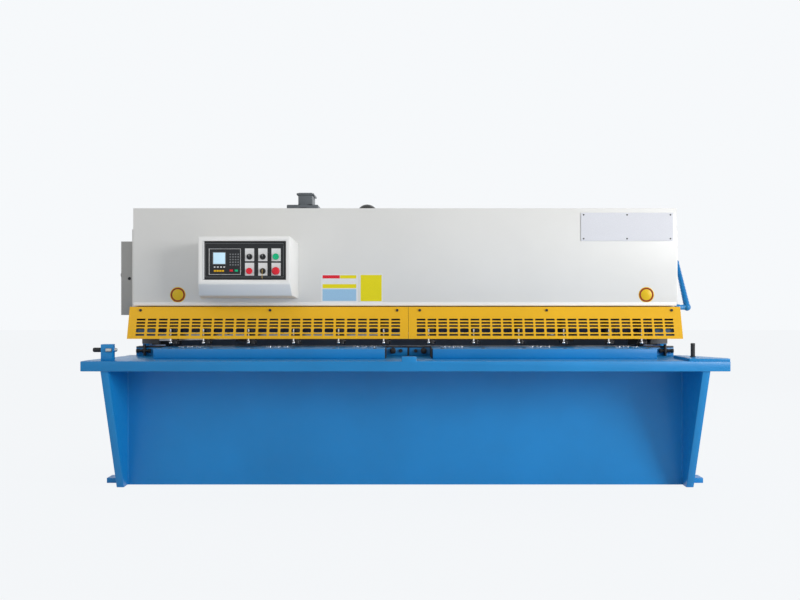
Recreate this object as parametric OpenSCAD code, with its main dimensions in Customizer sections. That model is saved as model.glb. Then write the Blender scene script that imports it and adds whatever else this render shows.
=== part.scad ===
// Hydraulic swing beam shear for sheet metal, cutting length about 3.2 m.
// X runs along the blades, Y from the operator's side to the back, Z up from the floor.
// The origin is on the floor, in the middle of the machine's length and depth.

/* [Overall] */
// Length of the work table over its two ends
table_len = 3840; // [3760:20:4000]
// Depth from the table's front edge to the back ends of the gauge guides
machine_depth = 1720; // [1700:10:1800]
// Height of the work table's top above the floor
table_h = 810; // [780:5:840]
// Height of the hood's top above the floor
hood_top = 1768; // [1745:1:1780]

/* [Frame] */
// Clear distance between the two side frames
frame_gap = 3520; // [3480:10:3560]
// Thickness of each side frame
frame_t = 45; // [35:1:50]
// Height of the side frames
frame_h = 1640; // [1630:5:1660]
// Distance from the table's front edge back to the foot of the frame
foot_set = 331; // [300:5:360]
// Distance from the table's front edge back to the head of the leg
leg_head_set = 13; // [8:1:25]
// Depth of the throat behind the blade line
throat_d = 241; // [220:5:260]
// Height of the throat above the lower jaw
throat_h = 210; // [200:5:230]
// Thickness of the apron plate below the table
apron_t = 25; // [15:1:30]
// Distance from the table's front edge back to the apron plate
apron_set = 419; // [405:1:430]
// Width of an anchor foot, outwards
foot_w = 105; // [90:5:110]
// Depth of an anchor foot
foot_d = 110; // [100:5:130]
// Thickness of an anchor foot
foot_t = 32; // [25:1:40]
// Radius of the anchor bolt hole
foot_hole_r = 13; // [9:0.5:15]

/* [Table] */
// Distance from the table's front edge back to the blade line
table_depth = 680; // [670:5:700]
// Thickness of the table plate
table_t = 60; // [50:1:65]
// Height of the bed and rail on the table plate
bed_h = 60; // [55:1:65]
// Half length of the front rail
rail_half = 1552; // [1530:2:1570]
// Distance from the table's front edge back to the rail
rail_set = 238; // [225:1:250]
// Depth of the front rail
rail_d = 332; // [320:1:340]
// Half width of the opening in the middle of the rail
rail_gap_half = 148; // [138:1:156]
// Offset of the middle seam from the machine's middle
seam_x = 22; // [14:1:28]
// Half length of the bed
bed_half = 1750; // [1740:1:1751]
// Thickness of the wear plate on the bed
bed_plate_t = 8; // [6:1:10]
// Width of the gap between the two halves of the bed
bed_gap = 13; // [8:1:16]
// Radius of a ball in the ball transfers
ball_r = 15; // [12:0.5:18]
// Number of groups of ball transfers
ball_groups = 6; // [4:1:6]
// Distance between the groups of ball transfers
ball_pitch = 562; // [540:2:576]

/* [Blades] */
// Length of both blades
blade_len = 3260; // [3220:10:3270]
// Height of a blade
blade_h = 80; // [76:1:84]
// Thickness of a blade
blade_t = 25; // [20:1:25]
// Rise of the upper blade from its left end to its right end
blade_rise = 84; // [70:2:90]
// Height of the upper blade's low end above the table bed, when open
blade_open = 30; // [28:1:36]
// Clearance between the blade planes, when open
blade_gap = 6; // [5:0.5:7]

/* [Swing beam] */
// Distance from the blade line back to the pivot
pivot_back = 650; // [630:5:660]
// Height of the pivot above the bed's top
pivot_up = 90; // [82:1:96]
// Radius of a pivot pin
pivot_r = 40; // [35:1:45]
// Running clearance at the pivot, in radius
pivot_fit = 0.05; // [0.03:0.01:0.08]
// Thickness of the beam's end arms
arm_t = 50; // [40:1:50]
// Thickness of the beam's front plate
beam_t = 50; // [40:1:55]
// Radius of the torque tube
tube_r = 80; // [75:1:85]
// Wall of the torque tube
tube_wall = 12; // [10:1:16]
// Radius of a main cylinder
ram_r = 75; // [65:1:78]
// Radius of a main cylinder's rod
rod_r = 35; // [30:1:40]
// Distance from the middle to a main cylinder
ram_x = 1610; // [1600:5:1620]

/* [Hold-down] */
// Number of hold-down cylinders on each side of the middle
hold_downs_per_side = 6; // [5:1:6]
// Distance between hold-down cylinders
hold_down_pitch = 292; // [285:1:300]
// Distance between the last two hold-down cylinders at each end
hold_down_end_pitch = 213; // [200:1:230]
// Radius of a hold-down cylinder
hold_down_r = 36; // [32:1:38]
// Radius of a hold-down rod
hold_rod_r = 14; // [12:0.5:17]
// Radius of a hold-down foot
hold_foot_r = 32; // [28:0.5:34]
// Gap for the sheet under the raised hold-down feet
feed_gap = 16; // [15:1:18]

/* [Hood and guard] */
// Distance from the hood's front back to the blade line
hood_set = 127; // [120:1:135]
// Half length of the hood
hood_half = 1765; // [1764:1:1767]
// Height of the hood's bottom edge above the floor
hood_low = 1135; // [1132:1:1145]
// Thickness of the sheet metal covers
sheet = 4; // [3:0.5:5]
// Half length of the guard
guard_half = 1782; // [1780:1:1786]
// Height of the guard's lower edge above the floor
guard_low = 923; // [920:1:930]
// Distance by which the guard's lower edge stands in front of its top
guard_lean = 65; // [55:1:70]
// Number of slot columns in each half of the guard
slot_cols = 24; // [18:1:24]
// Length of a guard slot
slot_w = 56; // [50:1:58]
// Height of a narrow guard slot
slot_h = 9.5; // [8:0.5:10]
// Height of a tall guard slot
tall_slot_h = 23; // [20:0.5:23]
// Margin at both ends of a row of slots
slot_margin = 53; // [46:1:60]

/* [Console and cabinet] */
// Middle of the console, along the machine
console_x = -1008; // [-1040:2:-980]
// Width of the console's front
console_w = 576; // [570:2:600]
// Depth of the console in front of the hood
console_d = 220; // [200:2:230]
// Height of the console's top edge
console_top = 1572; // [1560:1:1600]
// Height of the console's front face
console_h = 301; // [295:1:310]
// Width of the control panel
panel_w = 522; // [516:1:530]
// Height of the control panel
panel_h = 242; // [238:1:250]
// Height of the electrical cabinet
cabinet_h = 494; // [460:2:500]
// Width of the electrical cabinet's door
cabinet_w = 420; // [400:5:430]
// Depth of the electrical cabinet, outwards
cabinet_d = 96; // [90:1:98]
// Height of the electrical cabinet's bottom
cabinet_low = 1071; // [1060:1:1080]

/* [Hidden] */
$fn = 48;
// Tiny overlap that fuses pieces of one solid, and lets a cut run past a face
eps = 1;
front_y = -machine_depth / 2;
back_y = machine_depth / 2;
blade_y = front_y + table_depth;
table_low = table_h - table_t;
bed_top = table_h + bed_h;
frame_in = frame_gap / 2;
frame_out = frame_in + frame_t;
frame_back_y = front_y + 1480;
throat_y = blade_y + throat_d;
jaw_z = table_low + throat_h;
beam_rear_gap = 12;
hold_beam_t = 40;
hold_beam_y = blade_y - beam_rear_gap - hold_beam_t;
nose_y = hold_beam_y + hold_beam_t;
apron_y = front_y + apron_set;
support_y = blade_y - 90;
support_t = 40;
table_back_y = blade_y - 40;
rail_y = front_y + rail_set;
bed_y = rail_y + rail_d;
bed_back_y = blade_y - blade_t;
pivot_y = blade_y + pivot_back;
pivot_z = bed_top + pivot_up;
arm_out = frame_in - 10;
arm_in = arm_out - arm_t;
edge_low = bed_top + blade_open;
rake = blade_rise / blade_len;
blade_front_y = blade_y + blade_gap;
plate_y = blade_front_y + blade_t;
hood_y = blade_y - hood_set;
guard_y = hood_y - 18;
guard_face_h = hood_low - 7 - guard_low;
guard_angle = atan(guard_lean / guard_face_h);
guard_face = norm([guard_lean, guard_face_h]);
shelf_t = 20;
shelf_z = hood_low - 7 - sheet - shelf_t;
cyl_y = hold_beam_y - 38;
tank_low = 1400;
tank_top = 1600;
tank_y = blade_y + 330;
tank_d = 390;
console_y = hood_y - console_d;
console_taper = 28;
panel_z = console_top - 31 - panel_h / 2;
panel_y = console_y + 6;

// Plate with a profile in Y and Z, from x for a thickness t along X
module side_profile(x, t, points) {
    translate([x, 0, 0]) rotate([90, 0, 90]) linear_extrude(t) polygon(points);
}
// Plate with a profile in X and Z, from y for a thickness t along Y
module front_profile(y, t, points) {
    translate([0, y + t, 0]) rotate([90, 0, 0]) linear_extrude(t) polygon(points);
}
// Bar from one corner to the opposite corner
module bar(low, high) {
    translate(low) cube(high - low);
}
// Round bar along X
module rod_x(x, y, z, r, l) {
    translate([x, y, z]) rotate([0, 90, 0]) cylinder(r = r, h = l);
}
// Round bar along Y
module rod_y(x, y, z, r, l) {
    translate([x, y, z]) rotate([-90, 0, 0]) cylinder(r = r, h = l);
}
// The same piece on the left and on the right
module both_ends() {
    children();
    mirror([1, 0, 0]) children();
}

// One side frame: leg, lower jaw, throat and upper jaw in one plate
module side_frame(x) {
    corner = 16;
    nose_cut = 30;
    back_cut = 160;
    relief = 30;
    difference() {
        side_profile(x, frame_t, [
            [front_y + foot_set, 0], [front_y + leg_head_set, table_low],
            [throat_y - corner, table_low], [throat_y, table_low + corner],
            [throat_y, jaw_z - corner], [throat_y - corner, jaw_z],
            [nose_y + nose_cut, jaw_z], [nose_y, jaw_z + nose_cut], [nose_y, frame_h],
            [frame_back_y - back_cut, frame_h], [frame_back_y, frame_h - back_cut],
            [frame_back_y, 0], [frame_back_y - 180, 0], [frame_back_y - 180 - relief, relief],
            [apron_y + 150 + relief, relief], [apron_y + 150, 0]]);
        rod_x(x - eps, pivot_y, pivot_z, pivot_r + pivot_fit, frame_t + 2 * eps);
    }
}
module left_side_frame() {
    color("lightgray") side_frame(-frame_out);
}
module right_side_frame() {
    color("lightgray") side_frame(frame_in);
}

// Four drilled feet that stand out from the frames on the floor
module anchor_feet() {
    color("steelblue") both_ends() for (y = [apron_y + 50, frame_back_y - 160]) difference() {
        bar([frame_out, y, 0], [frame_out + foot_w, y + foot_d, foot_t]);
        translate([frame_out + foot_w / 2, y + foot_d / 2, -eps]) cylinder(r = foot_hole_r, h = foot_t + 2 * eps);
    }
}

// Plate that closes the front below the table
module apron_plate() {
    color("steelblue") bar([-frame_in, apron_y, 0], [frame_in, apron_y + apron_t, table_low]);
}

// Plate under the lower blade, with ribs forward to the apron
module bed_support() {
    low = 300;
    rib_t = 20;
    color("steelblue") {
        bar([-frame_in, support_y, low], [frame_in, support_y + support_t, table_low]);
        for (i = [-2 : 2]) side_profile(i * 600 - rib_t / 2, rib_t, [
            [apron_y + apron_t, low + 150], [apron_y + apron_t, table_low],
            [support_y + eps, table_low], [support_y + eps, low]]);
    }
}

// Table plate with its wide front edge and the ends drawn in towards the frames
module work_table() {
    ear_back = 540;
    ear_front = 105;
    lug_half = 44;
    lug_h = 28;
    lug_d = 24;
    end_x = table_len / 2;
    color("steelblue") {
        translate([0, 0, table_low]) linear_extrude(table_t) polygon([
            [-end_x, front_y], [end_x, front_y], [end_x, front_y + ear_front],
            [frame_out + 10, front_y + ear_back], [frame_out + 10, table_back_y],
            [-frame_out - 10, table_back_y], [-frame_out - 10, front_y + ear_back],
            [-end_x, front_y + ear_front]]);
        bar([seam_x - lug_half, front_y, table_h - eps], [seam_x + lug_half, front_y + lug_d, table_h + lug_h]);
    }
}

// Raised rail on the table's front, open in the middle
module table_rail() {
    color("steelblue") {
        bar([-rail_half, rail_y, table_h], [seam_x - rail_gap_half, bed_y, bed_top]);
        bar([seam_x + rail_gap_half, rail_y, table_h], [rail_half, bed_y, bed_top]);
    }
}

// Two bars in line that carry the lower blade, with a gap between them in the rail's opening
module blade_bed() {
    color("steelblue") bed_bars(table_h, bed_top - bed_plate_t);
}
// Wear plate on each bar, under the sheet
module bed_top_plate() {
    color("slategray") bed_bars(bed_top - bed_plate_t, bed_top);
}
module bed_bars(low_z, high_z) {
    bar([-bed_half, bed_y, low_z], [seam_x - bed_gap / 2, bed_back_y, high_z]);
    bar([seam_x + bed_gap / 2, bed_y, low_z], [bed_half, bed_back_y, high_z]);
}
module lower_blade() {
    color("silver") bar([-blade_len / 2, bed_back_y, bed_top - blade_h], [blade_len / 2, blade_y, bed_top]);
}

// Ball in a flanged cup, three to a group, on the rail
module ball_transfers() {
    cup_r = 23;
    cup_h = 3;
    ball_gap = 55;
    lift = 7;
    y = bed_y - 60;
    color("silver") for (i = [0 : ball_groups - 1]) for (j = [-1 : 1])
        translate([seam_x + (i - (ball_groups - 1) / 2) * ball_pitch + j * ball_gap, y, bed_top]) {
            cylinder(r = cup_r, h = cup_h);
            intersection() {
                translate([0, 0, lift - ball_r]) sphere(r = ball_r);
                cylinder(r = cup_r, h = ball_r);
            }
        }
}

// Screws that set the blade gap: a lug with a screw at each end of the bed, four screws in the rail's opening
module bed_adjusters() {
    lug_x = bed_half - 66;
    lug_t = 12;
    lug_d = 30;
    lug_up = 14;
    head_r = 14;
    head_t = 16;
    bolt_r = 9;
    bolt_l = 76;
    bolt_z = table_h + 32;
    bolt_y = bed_y - lug_d / 2;
    color("dimgray") {
        both_ends() {
            bar([lug_x, bed_y - lug_d, table_h], [lug_x + lug_t, bed_y, bed_top + lug_up]);
            rod_x(lug_x - 32, bolt_y, bolt_z, bolt_r, bolt_l + 1);
            for (x = [lug_x - 32, lug_x - 32 + bolt_l])
                translate([x, bolt_y, bolt_z]) rotate([0, 90, 0]) cylinder(r = head_r, h = head_t, $fn = 6);
        }
        for (s = [-1, 1]) {
            translate([seam_x + s * 100, bed_y, bolt_z]) rotate([90, 0, 0]) cylinder(r = 19, h = 22, $fn = 6);
            rod_y(seam_x + s * 48, bed_y - 16, bolt_z, 12, 16);
        }
    }
}

stop_x = -table_len / 2 + 142;
stop_y = front_y + 40;
stop_z = table_h + 64;
stop_screw_r = 9;
// Stop block with its adjusting screw, at the table's left end
module left_stop_block() {
    block_half = 33;
    block_d = 60;
    block_h = 98;
    screw_y = stop_y + block_d / 2;
    color("steelblue") bar([stop_x - block_half, stop_y, table_h],
        [stop_x + block_half, stop_y + block_d, table_h + block_h]);
    color("dimgray") {
        rod_x(stop_x - 40, screw_y, stop_z, stop_screw_r, 92);
        rod_x(stop_x - 80, screw_y, stop_z, 13, 41);
        translate([stop_x + block_half - eps, screw_y, stop_z]) rotate([0, 90, 0]) cylinder(r = 14, h = 11, $fn = 6);
    }
}
// Plate with a stop pin on the table's right corner
module right_corner_pin() {
    plate_t = 16;
    pin_r = 12;
    pin_h = 96;
    end_x = table_len / 2 - 2;
    in_x = end_x - 240;
    color("steelblue") translate([0, 0, table_h]) linear_extrude(plate_t) polygon([[in_x, front_y + 2],
        [end_x, front_y + 2], [end_x, front_y + 60], [in_x + 80, front_y + 330], [in_x, front_y + 330]]);
    color("dimgray") translate([in_x + 62, front_y + 140, table_h + plate_t - eps])
        cylinder(r = pin_r, h = pin_h - plate_t);
}

// Sloping plate on which the cut pieces slide out at the back
module delivery_chute() {
    plate_t = 6;
    top = [blade_y + 12, table_low - 70];
    low = [frame_back_y - 40, 330];
    color("steelblue") side_profile(-frame_in, frame_gap, [top, low, [low.x, low.y + plate_t],
        [top.x, top.y + plate_t]]);
}
module rear_tie_tube() {
    tube = 80;
    color("steelblue") rod_x(-frame_in, frame_back_y - 90, 180, tube / 2, frame_gap);
}

// Middle line of each hold-down, counted outwards from the middle
function hold_down_at(i) = (min(i, hold_downs_per_side - 2) + 0.5) * hold_down_pitch
    + (i == hold_downs_per_side - 1 ? hold_down_end_pitch : 0);
hold_shift = 22;
hold_x = [for (s = [-1, 1]) for (i = [0 : hold_downs_per_side - 1]) hold_shift + s * hold_down_at(i)];
hold_body_low = bed_top + 39;
hold_bore_fit = 0.5;

// Plate across the nose of both frames, with the shelf that carries the hold-down cylinders
module hold_down_beam() {
    beam_half = guard_half - 10;
    beam_top = 1600;
    rib_t = 20;
    color("lightgray") {
        bar([-beam_half, hold_beam_y, jaw_z], [beam_half, nose_y, beam_top]);
        bar([-beam_half, guard_y + sheet + 1, shelf_z], [beam_half, hold_beam_y + eps, shelf_z + shelf_t]);
        for (i = [-2 : 2]) side_profile(i * 700 + hold_shift - rib_t / 2, rib_t, [
            [hold_beam_y + eps, hood_low + sheet], [hold_beam_y + eps, beam_top - 200],
            [hood_y + 12, hood_low + 90], [hood_y + 12, hood_low + sheet]]);
    }
}
// Hold-down cylinders with a gland at the rod end
module hold_down_cylinders() {
    gland_h = 16;
    color("dimgray") for (x = hold_x) translate([x, cyl_y, 0]) difference() {
        union() {
            translate([0, 0, hold_body_low]) cylinder(r = hold_down_r - 6, h = gland_h + eps);
            translate([0, 0, hold_body_low + gland_h]) cylinder(r = hold_down_r, h = shelf_z - hold_body_low - gland_h);
        }
        translate([0, 0, hold_body_low - eps]) cylinder(r = hold_rod_r + hold_bore_fit, h = 100);
    }
}
// Hold-down rods with a round foot
module hold_down_feet() {
    foot_low = bed_top + feed_gap;
    foot_h = 18;
    color("silver") for (x = hold_x) translate([x, cyl_y, foot_low]) {
        cylinder(r1 = hold_foot_r - 2, r2 = hold_foot_r, h = 2);
        translate([0, 0, 2]) cylinder(r = hold_foot_r, h = foot_h - 2);
        cylinder(r = hold_rod_r, h = hold_body_low - foot_low + 80);
    }
}

// Folded cover over the hold-down beam: front, top, ends and bottom lip
module hood() {
    top_back_y = hood_y + 450;
    color("whitesmoke") {
        bar([-hood_half, hood_y, hood_low], [hood_half, hood_y + sheet, hood_top]);
        bar([-hood_half, hood_y, hood_top - sheet], [hood_half, top_back_y, hood_top]);
        bar([-hood_half, top_back_y - sheet, frame_h], [hood_half, top_back_y, hood_top]);
        bar([-hood_half, hood_y, hood_low], [hood_half, hold_beam_y, hood_low + sheet]);
        both_ends() {
            bar([hood_half - sheet, hood_y, hood_low], [hood_half, hold_beam_y, hood_top]);
            bar([hood_half - sheet, hood_y, frame_h], [hood_half, top_back_y, hood_top]);
        }
    }
}

// Half of the finger guard: one bent sheet with rows of slots, and its outer end
module finger_guard(length, side) {
    pitch = (length - 2 * slot_margin - slot_w) / (slot_cols - 1);
    // Height of each row's middle above the lower edge, along the face
    rows = [28, 57, 86, 107, 128];
    outer = side * length;
    bend_in = sheet / cos(guard_angle);
    foot_y = guard_y - guard_lean;
    top_z = guard_low + guard_face_h;
    middle_z = top_z - sheet / 2;
    difference() {
        side_profile(min(0, outer), length, [
            [foot_y, guard_low], [guard_y, top_z], [guard_y + 45, top_z], [guard_y + 45, top_z - sheet],
            [guard_y + bend_in - sheet * tan(guard_angle), top_z - sheet], [foot_y + bend_in, guard_low]]);
        translate([0, foot_y, guard_low]) rotate([90 - guard_angle, 0, 0]) translate([0, 0, -sheet - eps])
            linear_extrude(sheet + 2 * eps) mirror([side < 0 ? 1 : 0, 0])
            for (c = [0 : slot_cols - 1]) translate([slot_margin + c * pitch, 0]) for (r = [0 : len(rows) - 1])
                if (r == 1) {
                    end_r = tall_slot_h / 2;
                    translate([end_r, rows[r] - end_r]) square([slot_w - tall_slot_h, tall_slot_h]);
                    translate([end_r, rows[r]]) circle(r = end_r, $fn = 24);
                    translate([slot_w - end_r, rows[r]]) circle(r = end_r, $fn = 24);
                } else translate([0, rows[r] - slot_h / 2]) square([slot_w, slot_h]);
    }
    side_profile(side > 0 ? outer - sheet : outer, sheet, [
        [foot_y + bend_in / 2, guard_low], [guard_y + bend_in / 2 - sheet / 2 * tan(guard_angle), middle_z],
        [hold_beam_y - 8, middle_z], [hold_beam_y - 8, guard_low + 40], [hold_beam_y - 38, guard_low]]);
}
guard_seam = 1;
module finger_guard_left() {
    color("goldenrod") translate([seam_x - guard_seam, 0, 0]) finger_guard(guard_half + seam_x - guard_seam, -1);
}
module finger_guard_right() {
    color("goldenrod") translate([seam_x + guard_seam, 0, 0]) finger_guard(guard_half - seam_x - guard_seam, 1);
}

gauge_x = 1100;
gauge_w = 70;
gauge_z = bed_top + 24;
gauge_h = 80;
gauge_bar_y = blade_y + 440;
tube_y = pivot_y - 90;
tube_z = pivot_z + 140;
pad_y = blade_y + 130;
pad_z = bed_top + 430;
beam_front_top = pivot_z + 230;
beam_under_z = gauge_z + gauge_h;
beam_rib_t = 25;
// Low edge of the front plate's ends and of the arms
cheek_low = bed_top + 11;
// The top plate's underside, from the front plate back: ribs and arms end on it
beam_under = [[plate_y + beam_t, beam_front_top], [blade_y + 132, pad_z - 62], [blade_y + 320, pad_z - 35]];
// Front plate of the welded swing beam, with a sloping lower edge between two deeper ends
module swing_beam() {
    plate_low = edge_low + 12;
    cheek_gap = 8;
    cheek_x = blade_len / 2 + cheek_gap;
    color("lightsteelblue") front_profile(plate_y, beam_t, [[-arm_out, cheek_low], [-cheek_x, cheek_low],
        [-cheek_x, plate_low - cheek_gap * rake], [cheek_x, plate_low + blade_rise + cheek_gap * rake],
        [cheek_x, cheek_low], [arm_out, cheek_low], [arm_out, beam_front_top], [-arm_out, beam_front_top]]);
}
// Folded top plate of the beam, with a pad under each main cylinder
module beam_top_plate() {
    color("lightsteelblue") {
        side_profile(-arm_out, 2 * arm_out, concat([[blade_y + 320, pad_z - 10], [blade_y + 120, pad_z - 30],
            [plate_y, beam_front_top]], beam_under));
        both_ends() bar([ram_x - 50, blade_y + 120, pad_z - 31], [ram_x + 50, blade_y + 300, pad_z]);
    }
}
// Ribs from the front plate to the torque tube, and a gusset under each pad
module beam_ribs() {
    window_r = 70;
    color("lightsteelblue") {
        difference() {
            for (i = [-2 : 2]) side_profile(i * gauge_x / 2 - beam_rib_t / 2, beam_rib_t, concat(beam_under, [
                [tube_y, tube_z + tube_r - 20], [tube_y, tube_z - tube_r + 20], [tube_y - tube_r, beam_under_z],
                [plate_y + beam_t, beam_under_z]]));
            rod_x(-arm_in, tube_y, tube_z, tube_r, 2 * arm_in);
            rod_x(-arm_in, tube_y - tube_r - window_r - 20, tube_z, window_r, 2 * arm_in);
        }
        both_ends() side_profile(ram_x - beam_rib_t / 2, beam_rib_t, concat(beam_under, [
            [blade_y + 320, pad_z - 100], [plate_y + beam_t, beam_front_top - 60]]));
    }
}
// End arms that carry the beam on its pivot pins
module beam_arms() {
    tail = 70;
    color("lightsteelblue") both_ends() difference() {
        side_profile(arm_in, arm_t, concat(beam_under, [
            [pivot_y + tail, tube_z + 10], [pivot_y + tail, pivot_z - 100], [pivot_y - 60, pivot_z - 100],
            [pivot_y - 150, cheek_low], [plate_y + beam_t, cheek_low]]));
        rod_x(arm_in - eps, pivot_y, pivot_z, pivot_r + pivot_fit, arm_t + 2 * eps);
    }
}
module torque_tube() {
    color("lightsteelblue") difference() {
        rod_x(-arm_in, tube_y, tube_z, tube_r, 2 * arm_in);
        rod_x(-arm_in - eps, tube_y, tube_z, tube_r - tube_wall, 2 * (arm_in + eps));
    }
}
module upper_blade() {
    half = blade_len / 2;
    color("silver") front_profile(blade_front_y, blade_t, [[-half, edge_low], [half, edge_low + blade_rise],
        [half, edge_low + blade_rise + blade_h], [-half, edge_low + blade_h]]);
}
module pivot_pins() {
    collar_r = 75;
    collar_t = 12;
    color("dimgray") both_ends() {
        rod_x(arm_in - 10, pivot_y, pivot_z, pivot_r, frame_out - arm_in + 10);
        rod_x(frame_out, pivot_y, pivot_z, collar_r, collar_t);
    }
}

screw_x = gauge_x - 90;
screw_z = gauge_z + 40;
screw_r = 12;
block_y = back_y - 48;
module gauge_guides() {
    color("dimgray") both_ends() bar([gauge_x - gauge_w / 2, plate_y + beam_t, gauge_z],
        [gauge_x + gauge_w / 2, back_y, gauge_z + gauge_h]);
}
// Stop bar of the back gauge, notched round the guides, with cheeks and a nut at each of them
module gauge_bar() {
    half = blade_len / 2 + 10;
    bar_t = 16;
    bar_low = 55;
    bar_high = 55;
    saddle_d = 110;
    cheek = 14;
    fit = 0.3;
    color("lightsteelblue") difference() {
        union() {
            bar([-half, gauge_bar_y, gauge_z - bar_low], [half, gauge_bar_y + bar_t, gauge_z + bar_high]);
            bar([-half, gauge_bar_y, gauge_z - bar_t], [half, gauge_bar_y + saddle_d, gauge_z]);
            both_ends() {
                for (s = [-1, 1]) {
                    x = gauge_x + s * (gauge_w / 2 + cheek / 2);
                    bar([x - cheek / 2, gauge_bar_y, gauge_z - eps], [x + cheek / 2, gauge_bar_y + saddle_d, gauge_z + 60]);
                }
                bar([screw_x - 24, gauge_bar_y, gauge_z - eps], [screw_x + 24, gauge_bar_y + saddle_d - 30, screw_z + 24]);
            }
        }
        both_ends() {
            bar([gauge_x - gauge_w / 2 - fit, gauge_bar_y - eps, gauge_z], [gauge_x + gauge_w / 2 + fit,
                gauge_bar_y + saddle_d + eps, gauge_z + gauge_h]);
            rod_y(screw_x, gauge_bar_y - eps, screw_z, screw_r + fit, saddle_d);
        }
    }
}
// Lead screws of the back gauge, their rear blocks, the cross shaft and its geared motor
module gauge_drive() {
    block_t = 28;
    shaft_r = 10;
    shaft_y = block_y + block_t / 2;
    gear_x = -720;
    color("dimgray") {
        both_ends() {
            rod_y(screw_x, plate_y + beam_t, screw_z, screw_r, block_y - plate_y - beam_t + eps);
            bar([screw_x - 30, block_y, gauge_z], [gauge_x - gauge_w / 2, block_y + block_t, gauge_z + gauge_h]);
        }
        rod_x(-screw_x, shaft_y, screw_z, shaft_r, 2 * screw_x);
        bar([gear_x - 55, shaft_y - 40, screw_z - 45], [gear_x + 55, shaft_y + 40 - block_t / 2, screw_z + 45]);
        translate([gear_x, shaft_y - 4, screw_z + 45 - eps]) cylinder(r = 34, h = 150);
        translate([gear_x, shaft_y - 4, screw_z + 52]) cylinder(r = 38, h = 10);
    }
}

// Main cylinders at both ends, on brackets from the side frames
module main_cylinders() {
    ram_low = pad_z + 50;
    ram_h = 250;
    bracket_t = 40;
    bore_fit = 0.5;
    y = pad_y + 50;
    color("dimgray") both_ends() difference() {
        union() {
            translate([ram_x, y, ram_low]) cylinder(r = ram_r, h = ram_h);
            translate([ram_x, y, ram_low + ram_h - eps]) cylinder(r = ram_r - 20, h = 20);
            bar([ram_x, y - ram_r, ram_low], [frame_in, y + ram_r, ram_low + bracket_t]);
            side_profile(frame_in - 30, 30, [[y - ram_r, ram_low + bracket_t - eps],
                [y + ram_r, ram_low + bracket_t - eps], [y + ram_r, ram_low + 130], [y + 20, ram_low + 200],
                [y - ram_r, ram_low + 200]]);
        }
        translate([ram_x, y, ram_low - eps]) cylinder(r = rod_r + bore_fit, h = ram_h - 30);
    }
}
module cylinder_rods() {
    tip_gap = 0.3;
    tip = 10;
    color("silver") both_ends() translate([ram_x, pad_y + 50, pad_z + tip_gap]) {
        cylinder(r1 = rod_r - tip, r2 = rod_r, h = tip);
        translate([0, 0, tip]) cylinder(r = rod_r, h = 240);
    }
}

// Oil tank between the frames, with the power pack on its lid
module oil_tank() {
    lid_t = 8;
    lid_over = 12;
    color("steelblue") {
        bar([-frame_in, tank_y, tank_low], [frame_in, tank_y + tank_d, tank_top - lid_t + eps]);
        bar([-frame_in, tank_y - lid_over, tank_top - lid_t], [frame_in, tank_y + tank_d + lid_over, tank_top]);
    }
}
motor_x = -708;
motor_r = 118;
motor_z = 1727;
motor_y = tank_y + 6;
motor_l = 300;
// Electric motor with cooling fins, feet and terminal box, and the pump on its rear flange
module drive_motor() {
    fin_t = 5;
    fin_h = 12;
    fins = 12;
    box_x = motor_x + 12;
    box_w = 98;
    box_y = motor_y + 12;
    box_d = 230;
    box_top = 1924;
    saddle_w = 218;
    saddle_top = 1840;
    color("dimgray") {
        rod_y(motor_x, motor_y, motor_z, motor_r - fin_h, motor_l);
        rod_y(motor_x, motor_y, motor_z, motor_r, 40);
        rod_y(motor_x, motor_y + motor_l - 25, motor_z, motor_r, 25);
        for (i = [0 : fins - 1]) translate([motor_x, motor_y + motor_l / 2, motor_z])
            rotate([0, (i + 0.5) * 360 / fins, 0])
                bar([-fin_t / 2, -motor_l / 2 + 20, motor_r - fin_h - 5], [fin_t / 2, motor_l / 2 - 10, motor_r - 1]);
        for (s = [-1, 1]) bar([motor_x + s * 80 - 25, motor_y + 60, tank_top],
            [motor_x + s * 80 + 25, motor_y + 240, motor_z - 60]);
        front_profile(box_y, box_d, [[motor_x - saddle_w / 2, motor_z + 70], [motor_x + saddle_w / 2, motor_z + 70],
            [motor_x + saddle_w / 2, saddle_top - 6], [motor_x + saddle_w / 2 - 12, saddle_top],
            [motor_x - saddle_w / 2 + 12, saddle_top], [motor_x - saddle_w / 2, saddle_top - 6]]);
        bar([box_x - box_w / 2, box_y, saddle_top - eps], [box_x + box_w / 2, box_y + box_d, box_top - 16]);
        bar([box_x - box_w / 2 - 11, box_y - 8, box_top - 16], [box_x + box_w / 2 + 11, box_y + box_d + 8, box_top]);
        rod_y(motor_x, motor_y + motor_l - eps, motor_z, 75, 61);
        rod_y(motor_x, motor_y + motor_l + 59, motor_z, 45, 80);
        rod_y(motor_x, motor_y + motor_l + 70, motor_z, 55, 14);
    }
}
// Manifold with three solenoid valves
module valve_block() {
    low = [80, tank_y + 90, tank_top];
    high = [360, tank_y + 230, tank_top + 90];
    color("gray") {
        bar(low, high);
        for (i = [0 : 2]) {
            x = low.x + 50 + i * 90;
            bar([x - 24, low.y + 20, high.z - eps], [x + 24, high.y - 20, high.z + 46]);
            rod_y(x, low.y - 35, high.z + 23, 19, 60);
        }
    }
}
module filler_filter() {
    x = -262;
    y = tank_y + 60;
    cap_r = 60;
    dome_r = 74;
    cap_top = 1846;
    color("dimgray") {
        translate([x, y, tank_top]) cylinder(r = cap_r - 10, h = cap_top - tank_top - 40);
        translate([x, y, tank_top]) cylinder(r = cap_r + 6, h = 10);
        intersection() {
            translate([x, y, cap_top - dome_r]) sphere(r = dome_r);
            translate([x, y, cap_top - 41]) cylinder(r = cap_r, h = cap_r);
        }
    }
}
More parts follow.
